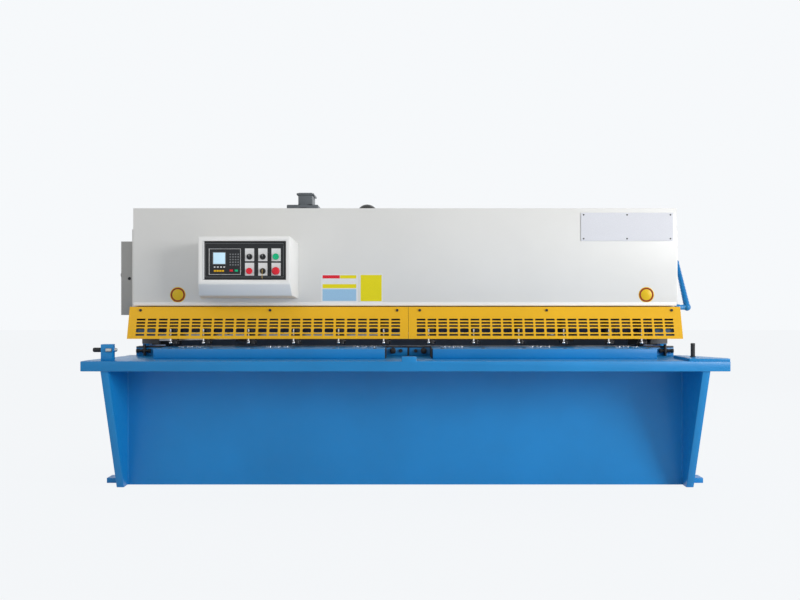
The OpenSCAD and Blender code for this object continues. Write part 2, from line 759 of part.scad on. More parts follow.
// Blue hydraulic line on the right frame, down to the hold-down beam
module hold_down_pipe() {
    r = 11;
    top = [frame_out + 22, blade_y + 80, 1425];
    low = [frame_out + 57, hold_beam_y + 20, 1146];
    port_x = 1780;
    run = low - top;
    color("steelblue") {
        rod_x(frame_out, top.y, top.z, 19, 22);
        translate(top) sphere(r = 15);
        translate(top) rotate([0, acos(run.z / norm(run)), atan2(run.y, run.x)]) cylinder(r = r, h = norm(run));
        translate(low) sphere(r = 15);
        rod_x(port_x, low.y, low.z, r, low.x - port_x);
        rod_x(port_x, low.y, low.z, 17, 22);
    }
}

// Console housing, tapered towards its front and undercut below, with a pocket behind the panel
module control_console() {
    half = console_w / 2;
    low_z = console_top - console_h;
    pocket_d = 60;
    color("whitesmoke") difference() {
        intersection() {
            side_profile(console_x - console_w, 2 * console_w, [
                [console_y, low_z], [console_y, console_top], [hood_y, console_top - 29],
                [hood_y, low_z - 90], [console_y + 60, low_z - 73]]);
            translate([0, 0, low_z - 200]) linear_extrude(console_h + 300) polygon([
                [console_x - half, console_y], [console_x + half, console_y],
                [console_x + half + console_taper, hood_y], [console_x - half - console_taper, hood_y]]);
        }
        bar([console_x - panel_w / 2, console_y - eps, panel_z - panel_h / 2],
            [console_x + panel_w / 2, console_y + pocket_d, panel_z + panel_h / 2]);
    }
}
panel_t = 3;
plate_t = 4;
stem_r = 11;
stem_fit = 0.25;
switch_dx = 83;
switch_dz = 90;
switch_x0 = console_x + 34;
switch_z0 = panel_z + 35;
// Middle of a switch, by column and row
function switch_at(c, r) = [switch_x0 + c * switch_dx, panel_y, switch_z0 - r * switch_dz + 0];
module control_panel() {
    color("dimgray") difference() {
        bar([console_x - panel_w / 2, panel_y, panel_z - panel_h / 2],
            [console_x + panel_w / 2, panel_y + panel_t, panel_z + panel_h / 2]);
        for (c = [0 : 2]) for (r = [0 : 1]) {
            p = switch_at(c, r);
            rod_y(p.x, panel_y - eps, p.z - 12, stem_r + stem_fit, panel_t + 2 * eps);
        }
    }
}
// Display with its bezel and raised screen
module display_unit() {
    w = 195;
    h = 160;
    x = console_x - 120;
    color("dimgray") {
        bar([x - w / 2, panel_y - 6, panel_z - 8 - h / 2], [x + w / 2, panel_y, panel_z - 8 + h / 2]);
        bar([x - w / 2 + 22, panel_y - 8, panel_z - 30], [x - w / 2 + 100, panel_y - 5, panel_z + 42]);
    }
}
ring_h = 3;
knob_gap = 0.4;
module switch_plates() {
    w = 57;
    h = 80;
    color("white") for (c = [0 : 2]) for (r = [0 : 1]) {
        p = switch_at(c, r);
        difference() {
            union() {
                bar([p.x - w / 2, panel_y - plate_t, p.z - h / 2], [p.x + w / 2, panel_y, p.z + h / 2]);
                rod_y(p.x, panel_y - plate_t - ring_h, p.z - 12, stem_r + 5, ring_h + eps);
            }
            rod_y(p.x, panel_y - plate_t - 5, p.z - 12, stem_r + stem_fit, plate_t + 10);
        }
    }
}
// Push button at a switch place: head with a rounded rim, and a stem through the panel
module push_button(c, r, head_r, head_d) {
    p = switch_at(c, r);
    travel_gap = 12;
    head_y = p.y - plate_t - travel_gap - head_d;
    translate([p.x, head_y, p.z - 12]) rotate([-90, 0, 0]) {
        cylinder(r1 = head_r - 3, r2 = head_r, h = 3);
        translate([0, 0, 3]) cylinder(r = head_r, h = head_d - 3);
        cylinder(r = stem_r, h = head_d + travel_gap + plate_t + 25);
    }
}
module start_button() {
    color("green") push_button(2, 0, 20, 8);
}
module stop_button() {
    color("red") push_button(0, 1, 20, 8);
}
module emergency_stop() {
    color("red") push_button(2, 1, 25, 16);
}
// Turned switch: a round knob with a raised grip, fixed on its stem
module turned_switch(c, r, grip_t, grip_d) {
    p = switch_at(c, r);
    knob_r = 17;
    knob_h = 12;
    knob_y = p.y - plate_t - ring_h - knob_gap - knob_h;
    rod_y(p.x, knob_y, p.z - 12, knob_r, knob_h);
    rod_y(p.x, knob_y, p.z - 12, stem_r, knob_h + 28);
    bar([p.x - grip_t / 2, knob_y - grip_d, p.z - 12 - knob_r + 2], [p.x + grip_t / 2, knob_y + eps, p.z - 12 + knob_r - 2]);
}
module mode_selector() {
    color("dimgray") turned_switch(0, 0, 8, 12);
}
module stroke_selector() {
    color("dimgray") turned_switch(1, 0, 8, 12);
}
module key_switch() {
    color("silver") turned_switch(1, 1, 3, 26);
}

cabinet_y = blade_y + 80;
cabinet_back_y = cabinet_y + cabinet_w;
door_t = 3;
door_gap = 0.5;
hinge_r = 5;
hinge_fit = 0.05;
hinge_x = -frame_out - cabinet_d + hinge_r;
hinge_y = cabinet_back_y + hinge_r + 5;
knuckle_h = 60;
hinge_z = [cabinet_low + 70, cabinet_low + cabinet_h - 70 - knuckle_h];
// Electrical cabinet on the left frame, open towards its door
module electrical_cabinet() {
    x = -frame_out - cabinet_d;
    lug_h = 14;
    mount_t = 4;
    color("lightgray") {
        difference() {
            bar([x, cabinet_y, cabinet_low], [-frame_out, cabinet_back_y, cabinet_low + cabinet_h]);
            bar([x - eps, cabinet_y + sheet, cabinet_low + sheet],
                [-frame_out - sheet, cabinet_back_y - sheet, cabinet_low + cabinet_h - sheet]);
        }
        bar([-frame_out - sheet - mount_t, cabinet_y + 40, cabinet_low + 40],
            [-frame_out - sheet + eps, cabinet_back_y - 40, cabinet_low + cabinet_h - 40]);
        for (z = hinge_z) {
            translate([hinge_x, hinge_y, z - lug_h]) cylinder(r = hinge_r, h = knuckle_h + 2 * lug_h);
            for (s = [-lug_h, knuckle_h + 0.5]) bar([hinge_x - hinge_r, cabinet_back_y - 1, z + s],
                [hinge_x + hinge_r + 8, hinge_y + hinge_r + 4, z + s + lug_h - 0.5]);
        }
    }
}
// Door with a folded rim, two hinge knuckles and a latch knob
module cabinet_door() {
    x = -frame_out - cabinet_d - door_gap;
    z = cabinet_low;
    color("lightgray") {
        bar([x - door_t, cabinet_y, z], [x, cabinet_back_y, z + cabinet_h]);
        rod_x(x - door_t - 12, cabinet_y + 40, z + 270, 13, 13);
        for (h = hinge_z) difference() {
            union() {
                translate([hinge_x, hinge_y, h]) cylinder(r = hinge_r + 4, h = knuckle_h);
                bar([x - door_t, cabinet_back_y - 2, h], [x, hinge_y, h + knuckle_h]);
            }
            translate([hinge_x, hinge_y, h - eps]) cylinder(r = hinge_r + hinge_fit, h = knuckle_h + 2 * eps);
        }
    }
}

left_side_frame();
right_side_frame();
anchor_feet();
apron_plate();
bed_support();
work_table();
table_rail();
blade_bed();
bed_top_plate();
lower_blade();
ball_transfers();
bed_adjusters();
left_stop_block();
right_corner_pin();
delivery_chute();
rear_tie_tube();
hold_down_beam();
hold_down_cylinders();
hood();
finger_guard_left();
finger_guard_right();
pivot_pins();
main_cylinders();
oil_tank();
drive_motor();
valve_block();
filler_filter();
hold_down_pipe();
control_console();
control_panel();
display_unit();
switch_plates();
electrical_cabinet();
swing_beam();
beam_top_plate();
beam_ribs();
beam_arms();
torque_tube();
upper_blade();
gauge_guides();
gauge_bar();
gauge_drive();
hold_down_feet();
cylinder_rods();
cabinet_door();
start_button();
stop_button();
emergency_stop();
mode_selector();
stroke_selector();
key_switch();
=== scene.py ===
# %% [markdown]
# # Swing beam shear
# A shear for sheet metal. Its CAD model is packed already, so this lesson adds what CAD leaves out:
# the finish of each surface, rounded edges, and the small parts that a person sees from close by.
# Everything is in metres, in the frame of the CAD model: +X to the operator's right, +Y to the back, +Z up.

# %% Load the frame
import bpy
import math
from mathutils import Matrix, Vector


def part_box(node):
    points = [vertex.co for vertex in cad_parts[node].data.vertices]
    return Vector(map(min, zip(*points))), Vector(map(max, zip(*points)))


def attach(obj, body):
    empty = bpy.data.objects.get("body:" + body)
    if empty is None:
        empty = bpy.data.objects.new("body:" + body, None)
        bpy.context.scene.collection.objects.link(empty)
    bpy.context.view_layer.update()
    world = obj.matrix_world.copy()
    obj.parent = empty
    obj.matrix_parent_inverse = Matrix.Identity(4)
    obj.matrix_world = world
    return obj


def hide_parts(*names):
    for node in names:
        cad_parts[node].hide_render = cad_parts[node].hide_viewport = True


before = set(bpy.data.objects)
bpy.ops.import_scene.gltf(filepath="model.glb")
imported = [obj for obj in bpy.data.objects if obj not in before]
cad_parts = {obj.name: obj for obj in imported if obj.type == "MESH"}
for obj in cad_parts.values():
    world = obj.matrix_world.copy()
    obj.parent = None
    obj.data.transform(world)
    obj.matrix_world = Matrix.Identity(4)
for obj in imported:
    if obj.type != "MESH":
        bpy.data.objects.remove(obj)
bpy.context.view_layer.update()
print("frame loaded:", len(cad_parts), "nodes")

# %% [markdown]
# The photograph was taken at chest height from straight ahead, with a normal lens. The horizon lies on the
# middle row of the picture, so the camera is level and needs no shift.

# %% Camera
EYE = Vector((-0.032, -6.36, 1.172))
FOCAL_MM = 41.94
bpy.ops.object.camera_add(location=EYE, rotation=(math.radians(90), 0, 0))
camera = bpy.context.object
camera.data.lens = FOCAL_MM
camera.data.sensor_width = 36
camera.data.clip_end = 100
bpy.context.scene.camera = camera
bpy.context.scene.view_settings.view_transform = "Standard"
print("camera at", [round(v, 3) for v in EYE])

# %% [markdown]
# A material is a small network of nodes. Every one here reads Object coordinates, so that its pattern is in
# metres and stays put when the piece moves. This helper makes the network and links two sockets at a time.

# %% Node helpers
def adder(tree):
    """Returns add(kind, ...), which puts a node into this tree and sets its options and sockets."""
    def add(kind, **values):
        node = tree.nodes.new("ShaderNode" + kind)
        for key, value in values.items():
            if hasattr(node, key):
                setattr(node, key, value)
            else:
                node.inputs[key.replace("_", " ")].default_value = value
        return node

    return add


def new_material(name, **shader):
    """A material with its shader's own sockets set. Returns (material, add, link, shader node)."""
    mat = bpy.data.materials.new(name)
    mat.use_nodes = True
    tree = mat.node_tree
    bsdf = tree.nodes["Principled BSDF"]
    for socket, value in shader.items():
        bsdf.inputs[socket.replace("_", " ")].default_value = value
    return mat, adder(tree), tree.links.new, bsdf


def noise_from(add, link, scale, stretch=(1, 1, 1), detail=3):
    """A noise texture of so many waves a metre. stretch turns it into streaks."""
    where = add("TexCoord")
    place = add("Mapping", Scale=stretch)
    link(where.outputs["Object"], place.inputs["Vector"])
    noise = add("TexNoise", Scale=scale, Detail=detail)
    link(place.outputs["Vector"], noise.inputs["Vector"])
    return noise.outputs["Fac"]


def mapped(add, link, value, low, high):
    """Turns a noise value, which is 0.3 to 0.7 nearly everywhere, into numbers from low to high."""
    node = add("MapRange", From_Min=0.3, From_Max=0.7, To_Min=low, To_Max=high)
    link(value, node.inputs["Value"])
    return node.outputs["Result"]


def two_tones(add, link, value, first, second):
    """Mixes two colours by a value from 0 to 1."""
    mix = add("Mix", data_type="RGBA")
    link(value, mix.inputs[0])
    mix.inputs[6].default_value = (*first, 1)
    mix.inputs[7].default_value = (*second, 1)
    return mix.outputs[2]


def bump(add, link, bsdf, value, depth, strength=1.0):
    """Raises the surface by so many metres where the value is 1."""
    node = add("Bump", Strength=strength, Distance=depth)
    link(value, node.inputs["Height"])
    link(node.outputs["Normal"], bsdf.inputs["Normal"])


# %% [markdown]
# Sprayed machine enamel isn't one flat colour. It has wide, weak clouds where the coat is thicker, a skin
# like an orange's that softens reflections, and a film of dust that makes the gloss uneven.

# %% Paints
CLOUDS, DUST, PEEL = 1.7, 26, 420    # waves of each pattern on a metre
PEEL_DEPTH = 0.00012
ENAMEL = {"Coat_Weight": 0.12, "Coat_Roughness": 0.18, "Specular_IOR_Level": 0.32}


def enamel_skin(add, link, bsdf, smooth, dusty):
    """Roughness from smooth to dusty, and the orange peel."""
    dust = noise_from(add, link, DUST, detail=5)
    link(mapped(add, link, dust, smooth, dusty), bsdf.inputs["Roughness"])
    bump(add, link, bsdf, noise_from(add, link, PEEL, detail=2), PEEL_DEPTH, 0.6)


def paint(name, colour, rough=0.36, cloud=0.1):
    mat, add, link, bsdf = new_material(name, **ENAMEL)
    darker = tuple(c * (1 - cloud) for c in colour)
    lighter = tuple(min(1, c * (1 + cloud * 0.6)) for c in colour)
    clouds = mapped(add, link, noise_from(add, link, CLOUDS, detail=4), 0, 1)
    link(two_tones(add, link, clouds, darker, lighter), bsdf.inputs["Base Color"])
    enamel_skin(add, link, bsdf, rough - 0.07, rough + 0.08)
    return mat


MACHINE_BLUE, PALE_GREY = (0.008, 0.24, 0.59), (0.8, 0.8, 0.78)
BLUE = paint("blue_enamel", MACHINE_BLUE)
WHITE_GREY = paint("hood_enamel", PALE_GREY, rough=0.4, cloud=0.03)
# The console's own white. The hood's bottom strip takes it too, as a painted highlight.
CONSOLE_WHITE_AND_HIGHLIGHT = paint("console_enamel", (0.93, 0.93, 0.915), rough=0.4, cloud=0.03)
YELLOW = paint("guard_enamel", (0.93, 0.5, 0.008), rough=0.38, cloud=0.06)
CABINET_GREY = paint("cabinet_enamel", (0.42, 0.42, 0.41), rough=0.45, cloud=0.05)
HOSE_PAINT = paint("hose_enamel", (0.008, 0.215, 0.54), rough=0.3, cloud=0.15)
BRACKET_PAINT = paint("bracket_enamel", (0.05, 0.11, 0.2), rough=0.42, cloud=0.08)
CAP_GREY = paint("cap_enamel", (0.035, 0.036, 0.035), rough=0.45, cloud=0.1)
MOTOR_GREY = paint("motor_enamel", (0.13, 0.145, 0.16), rough=0.42, cloud=0.12)
SIGNAL_YELLOW = paint("disc_enamel", (0.85, 0.56, 0.01), rough=0.35, cloud=0.04)


def two_coat_paint(name, lower, upper, border):
    """The lower paint up to a height, the upper paint above it."""
    mat, add, link, bsdf = new_material(name, **ENAMEL)
    place, parts = add("TexCoord"), add("SeparateXYZ")
    link(place.outputs["Object"], parts.inputs[0])
    above = add("Math", operation="GREATER_THAN")
    above.inputs[1].default_value = border
    link(parts.outputs["Z"], above.inputs[0])
    link(two_tones(add, link, above.outputs[0], lower, upper), bsdf.inputs["Base Color"])
    enamel_skin(add, link, bsdf, 0.3, 0.44)
    return mat


FRAME_BORDER = 1.128
FRAME_PAINT = two_coat_paint("frame_enamel", MACHINE_BLUE, PALE_GREY, FRAME_BORDER)
# The hold-down beam's lower coat is the machine blue darkened to near-black navy. This is painted shade
# behind the guard. Above the border the beam is pale grey.
HOLD_DOWN_SHADE_PAINT = two_coat_paint("hold_down_enamel", (0.002, 0.014, 0.05), PALE_GREY, FRAME_BORDER)
# The beam's face, its arms and the gauge bar get a dark grey. It is grey paint darkened as painted shade
# under the guard.
SHADED_BEAM_GREY = paint("beam_face_enamel", (0.17, 0.17, 0.17), rough=0.42, cloud=0.08)
print("paints made")

# %% [markdown]
# Ground steel shows fine lines along the direction of grinding. Noise that is stretched a hundred times
# along X gives such lines, and drives both the roughness and a very shallow bump.

# %% Metals
def metal(name, colour, rough, grain=(1, 60, 60), scale=14, metallic=1.0, depth=0.00004):
    mat, add, link, bsdf = new_material(name, Metallic=metallic)
    lines = noise_from(add, link, scale, grain, 4)
    darker = tuple(c * 0.82 for c in colour)
    link(two_tones(add, link, mapped(add, link, lines, 0, 1), darker, colour), bsdf.inputs["Base Color"])
    link(mapped(add, link, lines, rough - 0.06, rough + 0.1), bsdf.inputs["Roughness"])
    bump(add, link, bsdf, lines, depth, 0.5)
    return mat


GROUND_STEEL = metal("ground_steel", (0.56, 0.56, 0.57), 0.3)
# The bed's top plate is steel darkened to near black. This is painted shade under the beam and the guard.
SHADED_BED_STEEL = metal("oiled_bed_steel", (0.055, 0.055, 0.058), 0.46)
CHROME = metal("hard_chrome", (0.78, 0.78, 0.79), 0.12, (8, 8, 1), 60, depth=0.00001)
ZINC = metal("zinc_plate", (0.5, 0.5, 0.49), 0.34, (1, 1, 1), 90)
BLACK_STEEL = metal("blackened_steel", (0.02, 0.02, 0.022), 0.4, (1, 1, 1), 120, metallic=0.3, depth=0.00008)
BLACK_GLOSS = metal("black_glossy_steel", (0.02, 0.02, 0.022), 0.2, (1, 1, 1), 120, metallic=0.2,
    depth=0.00002)
BRASS = metal("brass", (0.62, 0.43, 0.16), 0.3, (1, 1, 1), 80)
print("metals made")

# %% [markdown]
# Moulded plastic has a fine, even grain from its mould. The grain is the whole difference between a switch
# and a flat black shape.

# %% Plastics
GRAIN, GRAIN_DEPTH = 900, 0.00006


def plastic(name, colour, rough=0.42, emission=0.0):
    mat, add, link, bsdf = new_material(name, Specular_IOR_Level=0.35)
    skin = noise_from(add, link, GRAIN, detail=2)
    darker = tuple(c * 0.85 for c in colour)
    link(two_tones(add, link, mapped(add, link, skin, 0, 1), darker, colour), bsdf.inputs["Base Color"])
    link(mapped(add, link, skin, rough - 0.05, rough + 0.07), bsdf.inputs["Roughness"])
    bump(add, link, bsdf, skin, GRAIN_DEPTH, 0.5)
    if emission:
        bsdf.inputs["Emission Color"].default_value = (*colour, 1)
        bsdf.inputs["Emission Strength"].default_value = emission
    return mat


BLACK_PLASTIC = plastic("black_plastic", (0.012, 0.014, 0.017))
DARK_RUBBER = plastic("dark_rubber", (0.03, 0.03, 0.03), 0.7)
WHITE_PLATE = plastic("white_plate", (0.9, 0.905, 0.91), 0.3)
GREEN = plastic("green_cap", (0.0, 0.56, 0.24), 0.25)
RED = plastic("red_cap", (0.85, 0.014, 0.035), 0.25)
DARK_RED = plastic("dark_red_ring", (0.3, 0.014, 0.006), 0.4)
SCREEN = plastic("pale_screen", (0.5, 0.72, 0.86), 0.12, emission=0.42)
KEY_GREY = plastic("grey_key", (0.2, 0.21, 0.22), 0.5)
PALE_EDGE = plastic("pale_edge", (0.66, 0.66, 0.66), 0.45)
KEY_YELLOW = plastic("yellow_key", (0.95, 0.52, 0.0), 0.5)
PALE_BLUE = plastic("pale_blue_plate", (0.38, 0.64, 0.88), 0.35)
LEMON = plastic("lemon_plate", (0.92, 0.8, 0.005), 0.35)
NAME_PLATE = plastic("name_plate_skin", (0.83, 0.84, 0.89), 0.32)
print("plastics made")

# %% [markdown]
# Each CAD node takes one of these finishes. The nodes are listed by material, which keeps the list short
# and easy to change. The slot of a piece is the name that its paint or metal has in the CAD model.

# %% Finishes of the CAD nodes
NODES_OF = (
    (BLUE, "anchor_feet apron_plate bed_support work_table table_rail blade_bed left_stop_block "
           "right_corner_pin delivery_chute rear_tie_tube oil_tank hold_down_pipe beam_top_plate beam_ribs "
           "torque_tube"),
    (FRAME_PAINT, "left_side_frame right_side_frame"), (HOLD_DOWN_SHADE_PAINT, "hold_down_beam"),
    (WHITE_GREY, "hood"), (CONSOLE_WHITE_AND_HIGHLIGHT, "control_console"),
    (YELLOW, "finger_guard_left finger_guard_right"),
    (CABINET_GREY, "electrical_cabinet cabinet_door"), (MOTOR_GREY, "drive_motor filler_filter"),
    (SHADED_BEAM_GREY, "swing_beam beam_arms gauge_bar"), (SHADED_BED_STEEL, "bed_top_plate"),
    (GROUND_STEEL, "lower_blade upper_blade"), (CHROME, "ball_transfers cylinder_rods key_switch"),
    (BLACK_STEEL, "bed_adjusters pivot_pins main_cylinders gauge_guides"),
    (BLACK_GLOSS, "hold_down_cylinders hold_down_feet"), (ZINC, "valve_block gauge_drive"),
    (BLACK_PLASTIC, "control_panel display_unit mode_selector stroke_selector"),
    (WHITE_PLATE, "switch_plates"),
    (GREEN, "start_button"), (RED, "stop_button emergency_stop"),
)
FINISH = {name: material for material, names in NODES_OF for name in names.split()}
SLOT_OF = {material: slot for slot, materials in {
    "blue_paint": (BLUE, BRACKET_PAINT, HOSE_PAINT), "grey_paint": (CONSOLE_WHITE_AND_HIGHLIGHT, CABINET_GREY),
    "yellow_paint": (YELLOW, SIGNAL_YELLOW), "motor_grey": (MOTOR_GREY, CAP_GREY),
    "blade_steel": (ZINC, GROUND_STEEL), "black_steel": (BLACK_STEEL,), "chrome": (CHROME, BRASS, PALE_EDGE),
    "black_plastic": (BLACK_PLASTIC, DARK_RUBBER, KEY_GREY),
    "white_plastic": (WHITE_PLATE, NAME_PLATE, SCREEN, LEMON, PALE_BLUE),
    "red_plastic": (RED, DARK_RED), "green_plastic": (GREEN,),
}.items() for material in materials}
for name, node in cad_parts.items():
    node.data.materials.clear()
    node.data.materials.append(FINISH[name])
print("finished nodes:", len(FINISH))

# %% [markdown]
# Modelling by hand in Blender means selecting things and running an operator on them. These helpers do the
# selecting: `only` makes one object the selected one, and `pick` selects faces or edges in edit mode by
# where they are or where they point.

# %% Selecting
import bmesh

def edit_mode():
    bpy.ops.object.mode_set(mode="EDIT")


def object_mode():
    bpy.ops.object.mode_set(mode="OBJECT")


def only(piece):
    """Deselects everything, then selects this piece."""
    if bpy.context.mode != "OBJECT":
        object_mode()
    bpy.ops.object.select_all(action="DESELECT")
    piece.select_set(True)
    bpy.context.view_layer.objects.active = piece


def pick(piece, kind, test):
    """In edit mode, selects what passes test(centre, normal). kind is FACE or EDGE."""
    bpy.ops.mesh.select_mode(type=kind)
    bpy.ops.mesh.select_all(action="DESELECT")
    mesh = bmesh.from_edit_mesh(piece.data)
    for item in mesh.faces if kind == "FACE" else mesh.edges:
        if kind == "FACE":
            chosen = test(item.calc_center_median(), item.normal)
        else:
            first, second = (v.co for v in item.verts)
            chosen = test((first + second) / 2, (second - first).normalized())
        item.select_set(bool(chosen))
    mesh.select_flush_mode()
    bmesh.update_edit_mesh(piece.data)


def settle(piece, name, material, body="frame", slot=None, angle=35):
    """Puts the place into the mesh, smooths the round parts and rides the piece on its body. The slot is
    looked up, the material's own when none is given, but is not kept on the piece."""
    only(piece)
    piece.name = name
    bpy.ops.object.transform_apply(location=True, rotation=True, scale=True)
    bpy.ops.object.shade_smooth_by_angle(angle=math.radians(angle))
    piece.data.materials.clear()
    piece.data.materials.append(material)
    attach(piece, body)
    slot or SLOT_OF[material]
    return piece


def joined(parts):
    """Several meshes made one piece."""
    only(parts[0])
    for part in parts:
        part.select_set(True)
    if len(parts) > 1:
        bpy.ops.object.join()
    return bpy.context.object


def copies(model, places):
    """Copies of a small model at many places, each with its own mesh, joined into one piece."""
    only(model)
    bpy.ops.object.transform_apply(location=False, rotation=True, scale=True)
    parts = []
    for place in places:
        twin = model.copy()
        twin.data = model.data.copy()
        twin.location = place
        bpy.context.collection.objects.link(twin)
        parts.append(twin)
    bpy.data.objects.remove(model)
    piece = joined(parts)
    bpy.ops.object.transform_apply(location=True, rotation=True, scale=True)
    return piece


# %% [markdown]
# No real edge is perfectly sharp. A bent sheet has a radius of its own thickness, and a flame-cut plate is
# ground. A thin bright line runs along such an edge, and a viewer misses it at once when it isn't there.
# The way here: copy the CAD node, merge its loose triangles, dissolve the flat ones back into whole faces,
# and bevel every edge that is sharper than 30 degrees.

# %% Rounded edges on the big pieces
MERGE = 0.00002
FLAT, SHARP = math.radians(1), math.radians(30)


def copy_of(node, dissolve=True):
    """A copy of a CAD node with its loose triangles merged, and the flat ones dissolved if wanted."""
    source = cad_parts[node]
    piece = source.copy()
    piece.data = source.data.copy()
    piece.parent = None
    piece.matrix_world = Matrix.Identity(4)
    bpy.context.collection.objects.link(piece)
    only(piece)
    edit_mode()
    bpy.ops.mesh.select_all(action="SELECT")
    bpy.ops.mesh.remove_doubles(threshold=MERGE)
    if dissolve:
        bpy.ops.mesh.dissolve_limited(angle_limit=FLAT)
    object_mode()
    return piece


def soften(node, width, slot):
    """A copy of a CAD node with rounded edges stands for that node."""
    piece = copy_of(node)
    rounding = piece.modifiers.new("rounding", "BEVEL")
    rounding.width = width
    rounding.segments = 2
    rounding.limit_method = "ANGLE"
    rounding.angle_limit = SHARP
    rounding.harden_normals = False
    bpy.ops.object.modifier_apply(modifier="rounding")
    settle(piece, node + "_rounded", FINISH[node], slot=slot)
    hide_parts(node)
    return piece


SOFTENED = {
    "work_table": (0.004, "blue_paint"), "left_side_frame": (0.003, "frame_paint"),
    "right_side_frame": (0.003, "frame_paint"), "table_rail": (0.003, "blue_paint"),
    "anchor_feet": (0.003, "blue_paint"), "control_console": (0.005, "grey_paint"),
    "hood": (0.0016, "grey_paint"), "electrical_cabinet": (0.0015, "grey_paint"),
    "blade_bed": (0.0015, "blue_paint"), "bed_top_plate": (0.001, "machined_steel"),
    "oil_tank": (0.002, "blue_paint"), "left_stop_block": (0.0015, "blue_paint"),
    "right_corner_pin": (0.0015, "blue_paint"),
}
for node, (width, slot) in SOFTENED.items():
    piece = soften(node, width, slot)
    print(piece.name, len(piece.data.vertices), "points")

# %% [markdown]
# A small turned part is a stack of rings: start from a filled circle, extrude it by a height, and scale the
# new ring to its radius. Chamfers, washers, domes and screw heads are all made this way.

# %% Turned parts
QUARTER = math.radians(90)
AIM = {"+X": (0, QUARTER, 0), "-X": (0, -QUARTER, 0), "+Y": (-QUARTER, 0, 0), "-Y": (QUARTER, 0, 0),
    "+Z": (0, 0, 0)}
SIDES = ((-1, "left"), (1, "right"))
OUTWARDS = {-1: "-X", 1: "+X"}


def mm(*steps):
    """Steps in millimetres, as on a drawing, made metres."""
    return [(radius / 1000, height / 1000) for radius, height in steps]


def turned(steps, aim="+Z", place=(0, 0, 0), sides=24):
    """Steps are (radius, height) from the seat outwards, in metres. The first ring lies at the place, and the
    heights of the others count from it."""
    bpy.ops.object.select_all(action="DESELECT")
    radius, height = steps[0]
    bpy.ops.mesh.primitive_circle_add(vertices=sides, radius=radius, fill_type="NGON",
        location=(0, 0, height))
    part = bpy.context.object
    edit_mode()
    for next_radius, next_height in steps[1:]:
        bpy.ops.mesh.extrude_region_move(TRANSFORM_OT_translate={"value": (0, 0, next_height - height)})
        share = next_radius / radius
        bpy.ops.transform.resize(value=(share, share, 1), center_override=(0, 0, next_height))
        radius, height = next_radius, next_height
    bpy.ops.mesh.select_all(action="SELECT")
    bpy.ops.mesh.normals_make_consistent(inside=False)
    object_mode()
    part.rotation_euler = AIM[aim]
    part.location = place
    return part


def cut_away(piece, tool):
    """Takes the tool's shape out of the piece."""
    cut = piece.modifiers.new("cut", "BOOLEAN")
    cut.operation, cut.solver, cut.object = "DIFFERENCE", "EXACT", tool
    only(piece)
    bpy.ops.object.modifier_apply(modifier="cut")
    bpy.data.objects.remove(tool)


def socket_screw(radius, height, aim):
    """Cap screw: a chamfered head with a hexagonal socket sunk into it."""
    head = turned([(radius, 0), (radius, height * 0.88), (radius * 0.9, height)], sides=18)
    socket = turned([(radius * 0.5, height * 0.45), (radius * 0.5, height * 1.2)], sides=6)
    cut_away(head, socket)
    head.rotation_euler = AIM[aim]
    return head


def hex_bolt(radius, height, aim):
    """Hexagonal head with its chamfer, on a washer."""
    washer = turned([(radius * 1.35, 0), (radius * 1.35, height * 0.22)])
    head = turned([(radius, height * 0.22), (radius, height * 0.9), (radius * 0.9, height)], sides=6)
    bolt = joined([washer, head])
    bolt.rotation_euler = AIM[aim]
    return bolt


def button_screw(radius, aim):
    """Low domed head with a shallow recess."""
    height = radius * 0.55
    head = turned([(radius, 0), (radius, height * 0.3), (radius * 0.86, height * 0.75),
        (radius * 0.55, height), (radius * 0.4, height), (radius * 0.34, height * 0.4)], sides=16)
    head.rotation_euler = AIM[aim]
    return head


# %% [markdown]
# A plate or a block starts as a cube at its real size, and its edges are bevelled in edit mode. Bevelling
# only the edges along one direction gives a plate with round corners and flat faces.

# %% Blocks and plates
def block(low, high, rounding=0.002, steps=2, along=None):
    """A block from corner to corner. along picks the edges in one direction, or all of them."""
    low, high = Vector(low), Vector(high)
    bpy.ops.object.select_all(action="DESELECT")
    bpy.ops.mesh.primitive_cube_add(size=1, location=(low + high) / 2)
    part = bpy.context.object
    part.scale = high - low
    bpy.ops.object.transform_apply(location=True, rotation=False, scale=True)
    edit_mode()
    axis = {"X": Vector((1, 0, 0)), "Y": Vector((0, 1, 0)), "Z": Vector((0, 0, 1))}.get(along)
    pick(part, "EDGE", lambda centre, way: axis is None or abs(way.dot(axis)) > 0.9)
    bpy.ops.mesh.bevel(offset=rounding, segments=steps, affect="EDGES", clamp_overlap=True)
    object_mode()
    return part


def framed(low, high, width, depth):
    """A block whose front face is inset and pushed in, which leaves a raised rim."""
    part = block(low, high, rounding=0.0008, steps=1)
    only(part)
    edit_mode()
    pick(part, "FACE", lambda centre, normal: normal.y < -0.9)
    bpy.ops.mesh.inset(thickness=width)
    shift = Vector((0, 0, 0))
    mesh = bmesh.from_edit_mesh(part.data)
    for face in mesh.faces:
        if face.select:
            shift = -face.normal * depth
    bpy.ops.transform.translate(value=shift)
    object_mode()
    return part

# %% [markdown]
# The hood is one folded cover. Its lower edge has a narrow return that catches the light, and its ends are
# screwed to the frame. The strip is a thin plate with rounded edges, laid on the hood's face. It takes the
# console's whiter paint, so it is brighter than the hood: a painted highlight on the return.

# %% Hood trim
hood_low, hood_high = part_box("hood")
FACE = hood_low.y
